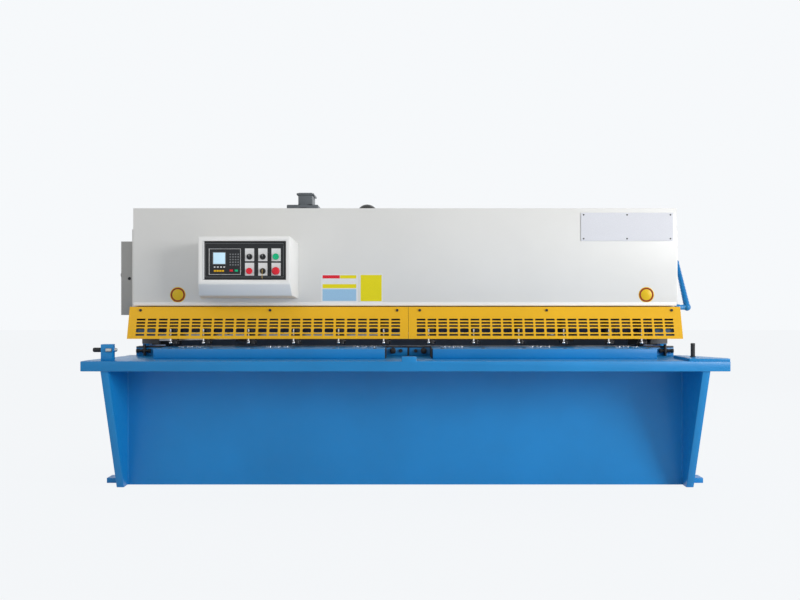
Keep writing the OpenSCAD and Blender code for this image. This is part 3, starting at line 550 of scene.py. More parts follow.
# The strip's whiter paint is a painted highlight on the hood's lower return.
strip = block((hood_low.x + 0.002, FACE - 0.002, hood_low.z),
    (hood_high.x - 0.002, FACE + 0.001, hood_low.z + 0.022), 0.0009)
settle(strip, "hood_bottom_strip", CONSOLE_WHITE_AND_HIGHLIGHT)
HOOD_SCREW, SUNK = 0.006, 0.0002
for side, label in SIDES:
    x = hood_high.x + SUNK if side > 0 else hood_low.x - SUNK
    end_screws = copies(button_screw(HOOD_SCREW, OUTWARDS[side]),
        [(x, y, z) for y in (-0.285, -0.25) for z in (1.2, 1.45, 1.7)])
    settle(end_screws, "hood_screws_" + label, ZINC)
top_screws = copies(button_screw(HOOD_SCREW, "+Z"), [(x * 0.43, y, hood_high.z - SUNK) for x in range(-4, 5)
    for y in (FACE + 0.03, hood_high.y - 0.03)])
settle(top_screws, "hood_screws_top", ZINC)
print("hood trimmed")

# %% [markdown]
# Two round discs, two small plates and one large plate are fixed on the hood. They carry nothing here: each
# is a bare plate in the colour of its place. The discs have a dark ring, which is its own shallow turned
# piece.

# %% Plates and discs on the hood
DISC_R, DISC_Z = 0.046, 1.206
DISC_PARTS = (("disc_ring_", DARK_RED, ((1, 0), (1, 0.0012), (0.99, 0.0016), (0.8, 0.0016), (0.79, 0.0009))),
              ("disc_", SIGNAL_YELLOW, ((0.785, 0), (0.785, 0.0012), (0.77, 0.0016))),
              ("disc_rim_", SIGNAL_YELLOW, ((1.1, 0), (1.1, 0.0004), (1.09, 0.0006))))
for side, x in (("left", -1.475), ("right", 1.568)):
    for name, material, rings in DISC_PARTS:
        disc = turned([(DISC_R * share, height) for share, height in rings], "-Y", (x, FACE, DISC_Z), 64)
        settle(disc, name + side, material)

THIN_PLATE, NAME_PLATE_THICK = 0.0008, 0.005
PLATES = {    # left, low, right, high, material, thickness
    "sheet_plate_white": (-0.545, 1.157, -0.306, 1.342, WHITE_PLATE, THIN_PLATE),
    "sheet_plate_lemon_back": (-0.295, 1.157, -0.144, 1.342, WHITE_PLATE, THIN_PLATE),
    "name_plate_bare": (1.143, 1.556, 1.74, 1.739, NAME_PLATE, NAME_PLATE_THICK),
}
for name, (x0, z0, x1, z1, material, thick) in PLATES.items():
    settle(block((x0, FACE - thick, z0), (x1, FACE, z1), 0.006, 4, "Y"), name, material)
INLAYS = {
    "inlay_red": (-0.535, 1.312, -0.423, 1.333, RED),
    "inlay_lemon_top": (-0.421, 1.312, -0.316, 1.333, LEMON),
    "inlay_lemon_band": (-0.535, 1.249, -0.316, 1.275, LEMON),
    "inlay_blue": (-0.535, 1.166, -0.316, 1.243, PALE_BLUE),
    "inlay_lemon": (-0.288, 1.164, -0.151, 1.335, LEMON),
}
for name, (x0, z0, x1, z1, material) in INLAYS.items():
    inlay = block((x0, FACE - 0.0012, z0), (x1, FACE - 0.0006, z1), 0.002, 2, "Y")
    settle(inlay, name, material, slot="white_plastic")
plate_screws = copies(button_screw(0.005, "-Y"), [(x, FACE - NAME_PLATE_THICK, z)
    for x in (1.16, 1.4415, 1.723) for z in (1.57, 1.725)])
settle(plate_screws, "name_plate_screws", BLACK_STEEL, slot="blade_steel")
print("plates made:", len(PLATES) + len(INLAYS))

# %% [markdown]
# The guard is bolted through its upper band. A dark screw sits at each end of both halves and in their
# middle.

# %% Guard screws
guard_low, guard_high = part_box("finger_guard_left")
GUARD_TOP_Y = FACE - 0.018
SCREW_DROP = 0.022
LEAN = math.atan2(GUARD_TOP_Y - guard_low.y, guard_high.z - guard_low.z)
band_z = guard_high.z - SCREW_DROP
band_y = GUARD_TOP_Y - SCREW_DROP * math.tan(LEAN)
screws = copies(socket_screw(0.0085, 0.008, "-Y"), [(x, band_y, band_z)
    for x in (-1.709, -0.872, -0.05, 0.096, 0.916, 1.724)])
settle(screws, "guard_screws", BLACK_STEEL)
print("guard screws at height", round(band_z, 3))

# %% [markdown]
# The guard's slots are laser cut, a little taller than in the CAD model and with tighter corners. Its sheet
# stays, and only the points on the slot edges slide along the sheet, away from the middle of their slot.

# %% Guard slots
SHEET = 0.004
# Each row: middle and half height in the CAD model, the new ones, and the roundness of the ends.
SLOT_ROWS = [(0.028, 0.00475, 0.027, 0.0064, 1.0), (0.057, 0.0115, 0.0565, 0.0142, 0.4),
             (0.086, 0.00475, 0.086, 0.0062, 1.0), (0.107, 0.00475, 0.1072, 0.0062, 1.0),
             (0.128, 0.00475, 0.129, 0.0062, 1.0)]
along_sheet = Vector((0, math.sin(LEAN), math.cos(LEAN)))
across_sheet = Vector((0, -math.cos(LEAN), math.sin(LEAN)))
foot = Vector((0, guard_low.y, guard_low.z))
for name in ("finger_guard_left", "finger_guard_right"):
    guard = copy_of(name, dissolve=False)
    moved = 0
    for v in guard.data.vertices:
        offset = Vector((0, v.co.y, v.co.z)) - foot
        height = offset.dot(along_sheet)
        if abs(offset.dot(across_sheet)) > SHEET * 1.2:
            continue
        for middle, half, new_middle, new_half, roundness in SLOT_ROWS:
            share = (height - middle) / half
            if abs(share) < 1.03:
                opened = new_middle + new_half * math.copysign(abs(share) ** roundness, share)
                v.co += along_sheet * (opened - height)
                moved += 1
    settle(guard, name + "_opened", YELLOW)
    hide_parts(name)
    print(name, "slot points moved:", moved)

# %% [markdown]
# The operator reads the console first, so it gets the closest look. A dark seal lines the recess, a grey
# line runs round the panel, the display sits in a pale bezel, and each switch has its own plate with a
# collar.

# %% Console recess
panel_low, panel_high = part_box("control_panel")
PANEL_Y = panel_low.y
lip = 0.006
edges = [((panel_low.x, panel_low.z), (panel_high.x, panel_low.z + lip)),
         ((panel_low.x, panel_high.z - lip), (panel_high.x, panel_high.z)),
         ((panel_low.x, panel_low.z + lip), (panel_low.x + lip, panel_high.z - lip)),
         ((panel_high.x - lip, panel_low.z + lip), (panel_high.x, panel_high.z - lip))]
rails = joined([block((x0, PANEL_Y - 0.005, z0), (x1, PANEL_Y - 0.0001, z1), 0.0015)
    for (x0, z0), (x1, z1) in edges])
settle(rails, "panel_seal", DARK_RUBBER)
cheek = block((panel_low.x + 0.0003, PANEL_Y - 0.006, panel_low.z + 0.001),
    (panel_low.x + 0.0125, PANEL_Y - 0.0052, panel_high.z - 0.001), 0.0003, 1)
settle(cheek, "panel_edge_strip", WHITE_PLATE)
inset_line = 0.016
edges = [((panel_low.x + inset_line, z), (panel_high.x - inset_line, z + 0.0022))
         for z in (panel_low.z + inset_line, panel_high.z - inset_line)]
edges += [((x, panel_low.z + inset_line), (x + 0.0022, panel_high.z - inset_line))
          for x in (panel_low.x + inset_line, panel_high.x - inset_line)]
line = joined([block((x0, PANEL_Y - 0.0012, z0), (x1, PANEL_Y, z1), 0.0004, 1)
    for (x0, z0), (x1, z1) in edges])
settle(line, "panel_line", KEY_GREY)
corner_screws = copies(button_screw(0.005, "-Y"), [(x, PANEL_Y, z)
    for x in (panel_low.x + 0.024, panel_high.x - 0.012)
    for z in (panel_low.z + 0.024, panel_high.z - 0.024)])
settle(corner_screws, "panel_screws", BLACK_STEEL)

# %% [markdown]
# The display: a bezel made from a block whose front face is inset and pushed back, a pale screen of its
# own, and rows of keys. The keys are one small rounded block, copied.

# %% Display and keys
unit_low, unit_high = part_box("display_unit")
DISPLAY_Y = PANEL_Y - 0.006

def slab(low, high, grow, front, back):
    """Both corners of a slab over a rectangle of the display, grown on each side, from front to back."""
    return (low.x - grow, DISPLAY_Y + front, low.z - grow), (high.x + grow, DISPLAY_Y + back, high.z + grow)


settle(framed(*slab(unit_low, unit_high, 0.002, -0.006, 0.005), 0.0024, 0.004), "display_bezel", PALE_EDGE)
settle(block(*slab(unit_low, unit_high, -0.002, -0.003, -0.001), 0.0006), "display_face", BLACK_PLASTIC)
screen_low = Vector((unit_low.x + 0.026, 0, unit_low.z + 0.066))
screen_high = screen_low + Vector((0.074, 0, 0.07))
settle(framed(*slab(screen_low, screen_high, 0.004, -0.006, -0.002), 0.004, 0.0025), "screen_frame", KEY_GREY)
settle(block(*slab(screen_low, screen_high, 0, -0.0045, -0.003), 0.0006), "display_screen", SCREEN)


def key_at(width, height, places, name, material):
    """A small rounded key, copied to its places on the display."""
    key = block((-width / 2, -0.0022, -height / 2), (width / 2, 0, height / 2), 0.0008)
    settle(copies(key, [(x, DISPLAY_Y - 0.003, z) for x, z in places]), name, material, slot="black_plastic")

x0, z0 = unit_low.x, unit_low.z
key_at(0.014, 0.011, [(x0 + 0.036 + i * 0.0165, z0 + 0.022) for i in range(4)], "keys_yellow", KEY_YELLOW)
key_at(0.01, 0.008, [(x0 + 0.034 + i * 0.02, z0 + 0.046) for i in range(4)], "keys_pale", WHITE_PLATE)
key_at(0.02, 0.013, [(x0 + 0.138, z0 + 0.024)], "key_red", RED)
key_at(0.02, 0.013, [(x0 + 0.17, z0 + 0.024)], "key_green", GREEN)
key_at(0.0095, 0.0085, [(x0 + 0.132 + i * 0.0165, z0 + 0.06 + j * 0.0165) for i in range(4)
    for j in range(5)], "keypad", KEY_GREY)
print("display made")

# %% [markdown]
# Each switch plate is moulded: a rounded face with a raised rim. The rim is made from a thin block whose
# front is inset and pushed in. Every switch gets a collar on its plate.

# %% Switches
SWITCHES = {name: (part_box(name)[0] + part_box(name)[1]) / 2
    for name in ("mode_selector", "stroke_selector", "start_button", "stop_button", "key_switch",
    "emergency_stop")}
PLATE_Y = PANEL_Y - 0.004
columns = [SWITCHES[n].x for n in ("mode_selector", "stroke_selector", "start_button")]
rows = [SWITCHES["start_button"].z + 0.012, SWITCHES["stop_button"].z + 0.012]
plates = []
for x in columns:
    for z in rows:
        plates.append(framed((x - 0.0285, PLATE_Y - 0.0012, z - 0.04),
            (x + 0.0285, PLATE_Y + 0.002, z + 0.04), 0.002, 0.0006))
settle(joined(plates), "switch_plate_rims", WHITE_PLATE)
collars = [turned(mm((18.5, 0), (18.5, 1.6), (17.2, 2.6), (16.5, 2.8), (16.5, 0.8)), "-Y",
    (centre.x, PLATE_Y - 0.001, centre.z), 32) for centre in SWITCHES.values()]
settle(joined(collars), "switch_collars", BLACK_PLASTIC)

# %% [markdown]
# Push buttons are turned from the stem outwards. The green and red ones have a shallow dish, and the stop
# that everybody must find has a wide domed head. Each rides on its own body, because it moves by itself.

# %% Push buttons
STEM_END = PANEL_Y + 0.025

def button(name, body, material, steps):
    centre = SWITCHES[name]
    part = turned(mm((11, 0), (11, 40.8)) + steps, "-Y", (centre.x, STEM_END, centre.z), 40)
    settle(part, name + "_cap", material, body)
    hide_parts(name)

FLAT_HEAD = mm((18.5, 41.1), (20, 42.4), (20, 46.8), (18.8, 48.4), (16, 49), (12.5, 48.2))
button("start_button", "start", GREEN, FLAT_HEAD)
button("stop_button", "stop", RED, FLAT_HEAD)
button("emergency_stop", "emergency", RED,
       mm((16, 41.1), (22.5, 42.6), (25, 45.5), (25, 48), (23.6, 52.4), (19, 55.6), (11, 57)))

# %% [markdown]
# A turned switch has a knob with a raised grip across it and a white pointer on the grip. The key switch
# has a metal barrel instead, with the key in it: a thin blade and a round bow with a hole.

# %% Turned switches
front = PANEL_Y - 0.0194
for name, body in (("mode_selector", "mode"), ("stroke_selector", "stroke")):
    centre = SWITCHES[name]
    knob = turned(mm((11, 0), (11, 28.2), (16.5, 28.4), (17, 29.2), (17, 37.2), (15.5, 39.8)), "-Y",
        (centre.x, front + 0.04, centre.z), 40)
    grip = block((centre.x - 0.004, front - 0.012, centre.z - 0.0155),
        (centre.x + 0.004, front + 0.001, centre.z + 0.0155), 0.0014, 3)
    piece = joined([knob, grip])
    settle(piece, name + "_knob", BLACK_PLASTIC, body)
    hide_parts(name)
    pointer = block((centre.x - 0.0008, front - 0.0123, centre.z + 0.001),
        (centre.x + 0.0008, front - 0.0115, centre.z + 0.013), 0.0003, 1)
    settle(pointer, name + "_pointer", WHITE_PLATE, body)

centre = SWITCHES["key_switch"]
barrel = turned(mm((11, 0), (11, 28.2), (16, 28.4), (17, 29.2), (17, 36.6), (16, 37.6), (12, 37.6),
    (11.5, 38.6), (7, 38.6)), "-Y", (centre.x, front + 0.04, centre.z), 40)
settle(barrel, "key_barrel", BLACK_STEEL, "key", "chrome")
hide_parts("key_switch")
blade = block((centre.x - 0.0013, front - 0.008, centre.z - 0.004),
    (centre.x + 0.0013, front + 0.002, centre.z + 0.004), 0.0004, 1)
bow = turned(mm((12.5, -1.3), (12.5, 1.3)), "+X", (centre.x, front - 0.0135, centre.z - 0.001), 28)
hole = turned(mm((4, -10), (4, 10)), "+X", (centre.x, front - 0.018, centre.z - 0.001), 16)
cut_away(bow, hole)
tag = block((centre.x - 0.002, front - 0.0165, centre.z - 0.046),
    (centre.x + 0.002, front - 0.0135, centre.z - 0.012), 0.0008, 2)
settle(joined([blade, bow, tag]), "key", BRASS, "key")
print("switches made:", len(SWITCHES))

# %% [markdown]
# The blades are bolted on through countersunk holes along their length. A row of socket screws shows on the
# upper blade's face from behind the guard, and on the lower blade's side from behind the bed.

# %% Blade screws
blade_low, blade_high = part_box("upper_blade")
RISE = (blade_high.z - blade_low.z - 0.08) / (blade_high.x - blade_low.x)
xs = [-1.53 + i * 0.18 for i in range(18)]
row = copies(socket_screw(0.0105, 0.003, "-Y"), [(x, blade_low.y, blade_low.z + 0.04 + (x + 1.63) * RISE)
    for x in xs])
settle(row, "upper_blade_screws", BLACK_STEEL, "beam")
under_low, under_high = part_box("lower_blade")
row = copies(socket_screw(0.0105, 0.003, "+Y"), [(x, under_high.y, (under_low.z + under_high.z) / 2)
    for x in xs])
settle(row, "lower_blade_screws", BLACK_STEEL)

# %% [markdown]
# On the rail lie the round flanges of the ball transfers with two small screws each. Rows of socket screws
# hold the rail and the bed down.

# %% Bed and rail screws
SEAM = 0.022
rail_low, rail_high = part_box("table_rail")
bed_low, bed_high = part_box("blade_bed")
BED_TOP = rail_high.z
ball_y = rail_high.y - 0.06
groups = [SEAM + (i - 2.5) * 0.562 + j * 0.055 for i in range(6) for j in (-1, 0, 1)]
tiny = copies(button_screw(0.0028, "+Z"), [(x + side * 0.0185, ball_y, BED_TOP + 0.003) for x in groups
    for side in (-1, 1)])
settle(tiny, "ball_flange_screws", ZINC, slot="chrome")
xs = [SEAM + side * (0.21 + i * 0.256) for side in (-1, 1) for i in range(6)]
holes = copies(socket_screw(0.011, 0.004, "+Z"), [(x, rail_low.y + 0.085, BED_TOP - 0.001) for x in xs])
settle(holes, "rail_screws", BLACK_STEEL)
xs = [SEAM + side * (0.05 + i * 0.21) for side in (-1, 1) for i in range(9)]
holes = copies(socket_screw(0.01, 0.002, "+Z"), [(x, (bed_low.y + bed_high.y) / 2, BED_TOP - 0.0005)
    for x in xs])
settle(holes, "bed_screws", BLACK_STEEL)

# %% [markdown]
# In the rail's opening, four screws press on the bed and set the blade gap. At each end of the bed stands a
# black lug with a long screw through it. Heads and nuts are six-sided turned parts, each with its chamfer.

# %% Setting screws
SCREW_Z = 0.842
bed_face = bed_low.y
parts = []
for side in (-1, 1):
    x = SEAM + side * 0.1
    parts.append(turned(mm((19.5, 0), (19.5, 4), (15, 6), (15, 8)), "-Y", (x, bed_face, SCREW_Z), 24))
    parts.append(block((x - 0.0165, bed_face - 0.022, SCREW_Z - 0.0165),
        (x + 0.0165, bed_face - 0.006, SCREW_Z + 0.0165), 0.003))
    parts.append(turned(mm((12.5, 0), (12.5, 10), (11, 11.5), (7, 11.5), (7, 16)), "-Y",
        (SEAM + side * 0.048, bed_face, SCREW_Z), 6))
end_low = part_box("bed_adjusters")[0]
lug_y = (bed_face + end_low.y) / 2
for side in (-1, 1):
    lug = sorted([side * 1.684, side * 1.696])
    parts.append(block((lug[0], end_low.y, 0.81), (lug[1], bed_face, BED_TOP + 0.014), 0.0015))
    rings = [(0.009, 0)]
    for i in range(12):
        step = 0.001 + i * 0.0049
        rings += [(0.009, step), (0.0078, step + 0.0014), (0.0078, step + 0.0026), (0.009, step + 0.004)]
    rings.append((0.009, 0.0602))
    parts.append(turned(rings, OUTWARDS[side], (side * 1.668, lug_y, SCREW_Z), 20))
    for start in (1.652, 1.728):
        parts.append(turned(mm((14, 0), (15.2, 1.5), (15.2, 14.5), (14, 16)), OUTWARDS[side],
            (side * start, lug_y, SCREW_Z), 6))
    parts.append(turned(mm((15, 0), (15, 8), (14, 9)), OUTWARDS[side], (side * 1.696, lug_y, SCREW_Z), 6))
setting = joined(parts)
settle(setting, "setting_screws", BLACK_STEEL)
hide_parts("bed_adjusters")

# %% [markdown]
# The left end of the table carries a stop with a black knob and a silver bolt, and the right end a pin.
# A dark strip fills the gap in the middle of the bed, and dark strips at the ends of the rail's opening are
# painted shade.

# %% Stops
stop_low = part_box("left_stop_block")[0]
STOP_X, STOP_Y, STOP_Z = -1.778, -0.79, 0.874
knob = turned(mm((12.5, 0), (13.2, 4), (13.8, 8), (13.8, 46), (13, 51), (10.5, 54)),
              "-X", (STOP_X - 0.033, STOP_Y, STOP_Z), 32)
settle(knob, "stop_knob", BLACK_PLASTIC)
sleeve = turned(mm((8.5, 0), (11.5, 2), (11.5, 30), (10, 31), (10, 34), (11.5, 35)),
                "+X", (STOP_X - 0.002, stop_low.y - 0.003, STOP_Z), 32)
tip = turned(mm((12, 0), (12, 13), (10.4, 14), (10.4, 19.5), (8.5, 21.5)), "+X",
    (STOP_X + 0.033, STOP_Y, STOP_Z), 32)
settle(joined([sleeve, tip]), "stop_bolt", ZINC, slot="chrome")
pin_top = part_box("right_corner_pin")[1].z
PIN_X, PIN_Y = 1.74, -0.72
cap = turned(mm((12.2, 0), (13.5, 1), (13.5, 10), (11.5, 13)), "+Z", (PIN_X, PIN_Y, pin_top - 0.007), 32)
settle(cap, "corner_pin_cap", BLACK_STEEL)
sleeve = turned([(0.0165, 0), (0.0165, 0.004), (0.013, 0.006), (0.013, pin_top - 0.835)], "+Z",
    (PIN_X, PIN_Y, 0.828), 32)
settle(sleeve, "corner_pin_sleeve", BLACK_STEEL)
strip = block((SEAM - 0.0062, bed_face + 0.003, 0.8105),
    (SEAM + 0.0062, bed_high.y - 0.001, BED_TOP - 0.0005), 0.0006)
settle(strip, "bed_gap_strip", DARK_RUBBER)
# These dark strips at the rail's ends are painted shade in the seams of the opening.
ends = [block((min(x, x + way), rail_low.y + 0.012, 0.812),
    (max(x, x + way), rail_high.y - 0.012, BED_TOP - 0.002), 0.0008, 1)
    for x, way in ((SEAM - 0.148, 0.007), (SEAM + 0.148, -0.007))]
settle(joined(ends), "rail_end_strips", DARK_RUBBER)

# %% [markdown]
# Beside each hold-down foot hangs a polished return rod with a domed nut. It rides with the feet.

# %% Return rods
feet_low, feet_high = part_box("hold_down_feet")
cylinder_y = (feet_low.y + feet_high.y) / 2
hold_downs = [(i + 0.5) * 0.292 for i in range(5)] + [4.5 * 0.292 + 0.213]
spots = [(SEAM + side * way - 0.014, cylinder_y - 0.045, feet_low.z) for side in (-1, 1)
    for way in hold_downs]
rod = turned(mm((4, 1), (9, 3), (11.5, 9), (10, 16), (6.2, 19), (6.2, 100)), "+Z")
settle(copies(rod, spots), "return_rods", CHROME, "hold_downs")

# %% [markdown]
# Small covers close the ends of the working gap. A dark rubber strip stands behind each end of the beam's
# front plate, and a dark rubber pad sits on each end of the back gauge's bar; both are painted shade at the
# gap's ends. A bracket stands between each guard and the hold-down beam.

# %% End covers
beam_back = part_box("swing_beam")[1].y
bar_low, bar_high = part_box("gauge_bar")
for side, label in SIDES:
    strip_x, pad_x, arm_x = (sorted((side * near, side * far))
        for near, far in ((1.5, 1.698), (1.64, 1.698), (1.612, 1.764)))
    # The strip and the pad are dark pieces that stand in as painted shade at the ends of the working gap.
    strip = block((strip_x[0], beam_back, 0.872), (strip_x[1], beam_back + 0.004, 0.96), 0.001)
    settle(strip, "gap_seal_" + label, DARK_RUBBER, "beam")
    pad = block((pad_x[0], bar_low.y, bar_low.z), (pad_x[1], bar_high.y - 0.02, 0.948), 0.004)
    settle(pad, "gauge_end_pad_" + label, DARK_RUBBER, "beam")
    plate = block((arm_x[0], -0.352, 0.927), (arm_x[1], -0.347, 0.985), 0.001)
    foot = block((arm_x[0], -0.35, 0.979), (arm_x[1], -0.319, 0.984), 0.001)
    settle(joined([plate, foot]), "guard_bracket_" + label, BRACKET_PAINT)
print("bed details made")

# %% [markdown]
# The legs show a weld bead where the apron and the table meet them. A bead is a thin rope here, cut into
# many rings, and a ripple makes each ring a little wider or narrower than the one before it.

# %% Weld beads
BEAD_R = 0.004


def bead(start, end, name):
    """A weld from start to end: a low round rope with a ripple every few millimetres."""
    start, end = Vector(start), Vector(end)
    way = end - start
    rings = max(8, int(way.length / 0.012))
    bpy.ops.object.select_all(action="DESELECT")
    bpy.ops.mesh.primitive_cylinder_add(vertices=8, radius=BEAD_R, depth=way.length)
    rope = bpy.context.object
    only(rope)
    edit_mode()
    pick(rope, "EDGE", lambda centre, along: abs(along.z) > 0.9)
    bpy.ops.mesh.subdivide(number_cuts=rings)
    object_mode()
    for v in rope.data.vertices:
        ripple = 1 + 0.1 * math.sin(v.co.z * 2 * math.pi / 0.024) + 0.05 * math.sin(v.co.z * 91)
        v.co.x *= ripple
        v.co.y *= ripple
    rope.rotation_euler = way.to_track_quat("Z", "Y").to_euler()
    rope.location = (start + end) / 2
    settle(rope, name, BLUE, angle=60)


LEG_X, TABLE_Z = 1.76, 0.75
apron_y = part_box("apron_plate")[0].y
for side, label in SIDES:
    bead((side * LEG_X, apron_y, 0.01), (side * LEG_X, apron_y, TABLE_Z - 0.005), "weld_apron_" + label)
    bead((side * LEG_X, -0.845, TABLE_Z), (side * LEG_X, -0.445, TABLE_Z), "weld_table_" + label)
bead((-LEG_X + 0.005, apron_y, TABLE_Z), (LEG_X - 0.005, apron_y, TABLE_Z), "weld_apron_top")
print("weld beads made")

# %% [markdown]
# The motor stands on the tank's lid. It is built from turned drums, a ring of thin cooling fins, two feet
# and a terminal box. The fan cover's front is one turned profile with ring grooves, as a stamped grille
# has.

# %% Motor
MOTOR = Vector((-0.708, 0.156, 1.727))
MOTOR_R, LID_Z = 0.118, 1.6
grille = [(MOTOR_R, 0), (MOTOR_R, 0.026), (0.112, 0.036), (0.1, 0.04)]
for ring in range(6):
    edge = 0.094 - ring * 0.013
    grille += [(edge, 0.04), (edge, 0.033), (edge - 0.006, 0.033), (edge - 0.006, 0.04)]
drums = [turned(grille, "-Y", MOTOR + Vector((0, 0.04, 0)), 64),
    turned(mm((104, 0), (104, 250)), "+Y", MOTOR + Vector((0, 0.036, 0)), 64),
    turned([(0.11, 0), (MOTOR_R, 0.006), (MOTOR_R, 0.019), (0.112, 0.025), (0.075, 0.025), (0.075, 0.085),
    (0.058, 0.087), (0.045, 0.095), (0.045, 0.105), (0.054, 0.106), (0.054, 0.119), (0.045, 0.12),
    (0.045, 0.16), (0.04, 0.164)], "+Y", MOTOR + Vector((0, 0.275, 0)), 64)]
FIN_COUNT = 48
fins = []
for i in range(FIN_COUNT):
    angle = 2 * math.pi * i / FIN_COUNT
    if abs(math.sin(angle)) > 0.8:
        continue
    bpy.ops.mesh.primitive_cube_add(size=1)
    fin = bpy.context.object
    fin.scale = (0.018, 0.236, 0.0032)
    fin.location = MOTOR + Vector((0.108 * math.cos(angle), 0.158, 0.108 * math.sin(angle)))
    fin.rotation_euler = (0, -angle, 0)
    bpy.ops.object.transform_apply(location=True, rotation=True, scale=True)
    fins.append(fin)
feet = []
for side in (-1, 1):
    x = MOTOR.x + side * 0.08
    feet.append(block((x - 0.018, 0.226, LID_Z), (x + 0.018, 0.386, 1.667), 0.003))
    feet.append(block((x - 0.025, 0.216, LID_Z), (x + 0.025, 0.396, 1.611), 0.002))
BOX_X = -0.696
box_parts = [block((MOTOR.x - 0.118, 0.168, 1.79), (MOTOR.x + 0.103, 0.398, 1.84), 0.007, 3)]
for half, front_y, low_z, back_y, high_z, rounding, steps in (
        (0.049, 0.168, 1.838, 0.398, 1.909, 0.004, 2), (0.06, 0.16, 1.907, 0.406, 1.919, 0.003, 2),
        (0.048, 0.172, 1.917, 0.394, 1.924, 0.004, 3)):
    box_parts.append(block((BOX_X - half, front_y, low_z), (BOX_X + half, back_y, high_z), rounding, steps))
motor = joined(drums + fins + feet + box_parts)
settle(motor, "motor_body", MOTOR_GREY, angle=30)
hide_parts("drive_motor")
screws = copies(button_screw(0.0045, "+Z"), [(BOX_X + side * 0.0535, y, 1.919) for side in (-1, 1)
    for y in (0.167, 0.399)])
settle(screws, "terminal_box_screws", ZINC)
foot_bolts = copies(hex_bolt(0.008, 0.008, "+Z"), [(MOTOR.x + side * 0.115, y, LID_Z) for side in (-1, 1)
    for y in (0.245, 0.367)])
settle(foot_bolts, "motor_foot_bolts", ZINC)
glands = [turned(mm((15, 0), (15, 7), (13, 8), (13, 22), (9.5, 28), (7.5, 28)), "+Y",
    (BOX_X + x, 0.398, 1.872), 24) for x in (-0.022, 0.022)]
settle(joined(glands), "cable_glands", BLACK_PLASTIC)
seal = block((BOX_X - 0.0496, 0.1674, 1.8385), (BOX_X + 0.0496, 0.3986, 1.8425), 0.0008, 1)
settle(seal, "terminal_box_seal", DARK_RUBBER)
print("motor made, fins:", len(fins))

# %% [markdown]
# The filler filter has a domed cap. Its profile is worked out from the dome's own radius, ring by ring.

# %% Filler filter
filter_low, filter_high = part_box("filler_filter")
filter_x, filter_y = (filter_low.x + filter_high.x) / 2, (filter_low.y + filter_high.y) / 2
DOME_R, CAP_R = 0.074, 0.06
height = filter_high.z - filter_low.z
profile = [(0.066, 0), (0.066, 0.008), (0.063, 0.01), (0.05, 0.0101), (0.05, height - 0.06),
    (CAP_R - 0.003, height - 0.058), (CAP_R, height - 0.055), (CAP_R, height - 0.048),
    (CAP_R - 0.002, height - 0.047), (CAP_R - 0.002, height - 0.044), (CAP_R, height - 0.043)]
for step in range(1, 9):
    up = 0.0433 + (DOME_R - 0.0433) * step / 8
    profile.append((max(0.002, math.sqrt(max(0, DOME_R ** 2 - up ** 2))), height - DOME_R + up))
cap = turned(profile, "+Z", (filter_x, filter_y, filter_low.z), 48)
settle(cap, "filler_cap", CAP_GREY, angle=40)
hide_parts("filler_filter")
around = [(filter_x + 0.058 * math.cos(a), filter_y + 0.058 * math.sin(a), filter_low.z + 0.01)
          for a in [math.pi * i / 3 for i in range(6)]]
settle(copies(button_screw(0.0038, "+Z"), around), "filter_screws", ZINC)

# %% [markdown]
# The manifold's valves each get four socket screws, a solenoid with a ribbed nut and a black plug.
# Hexagonal plugs close the drillings in the manifold's back.

# %% Valves
plugs, nuts, plates = [], [], []
for i in range(3):
    x = 0.13 + i * 0.09
    plugs.append(block((x - 0.014, 0.206, 1.728), (x + 0.014, 0.236, 1.756), 0.003, 3))
    plugs.append(turned(mm((8, 0), (8, 12), (6.5, 16)), "-Y", (x, 0.206, 1.742), 20))
    nuts.append(turned(mm((14, 0), (14, 8), (12.5, 10), (6, 10)), "-Y", (x, 0.205, 1.713), 12))
    nuts.append(turned(mm((11, 0), (11, 5), (9.5, 6)), "+Y", (x, 0.38, 1.64), 6))
    plates += [(x + dx, y, 1.736) for dx in (-0.016, 0.016) for y in (0.272, 0.348)]
settle(joined(plugs), "solenoid_plugs", BLACK_PLASTIC)
settle(joined(nuts), "valve_nuts", BLACK_STEEL)
settle(copies(socket_screw(0.0045, 0.005, "+Z"), plates), "valve_screws", BLACK_STEEL)

# %% [markdown]
# The tank's lid is bolted down all round. On the tank's back sit an oil level gauge with a pale tube and a
# drain plug.

# %% Tank
tank_low, tank_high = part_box("oil_tank")
lid_z = tank_high.z
places = [(x * 0.17, y, lid_z) for x in range(-10, 11) for y in (tank_low.y + 0.018, tank_high.y - 0.018)
          if not (y < 0.2 and abs(x * 0.17 - MOTOR.x) < 0.16)]
settle(copies(hex_bolt(0.0075, 0.007, "+Z"), places), "tank_lid_bolts", ZINC)
gauge_x, wall_y = -0.35, tank_high.y - 0.012
holder = joined([block((gauge_x - 0.016, wall_y, 1.43), (gauge_x + 0.016, wall_y + 0.01, 1.57), 0.003, 3),
    turned(mm((10, 0), (10, 6), (8, 8)), "+Y", (gauge_x, wall_y + 0.01, 1.442), 6),
    turned(mm((10, 0), (10, 6), (8, 8)), "+Y", (gauge_x, wall_y + 0.01, 1.558), 6)])
settle(holder, "level_gauge_body", BLACK_PLASTIC)
# The tube takes the screen's material, so it glows. This is a painted glow, since the tube is no lamp.
tube = block((gauge_x - 0.007, wall_y + 0.009, 1.46), (gauge_x + 0.007, wall_y + 0.013, 1.54), 0.002, 3)
settle(tube, "level_gauge_tube", SCREEN)
drain = turned(mm((22, 0), (22, 6), (15, 7), (15, 18), (13, 20)), "+Y", (0.9, wall_y, 1.432), 6)
settle(drain, "drain_plug", ZINC)

# %% [markdown]
# The main cylinders are screwed together at their ends, and each has a pipe port. A cover with six screws
# and a grease nipple closes both pivots on the outside.

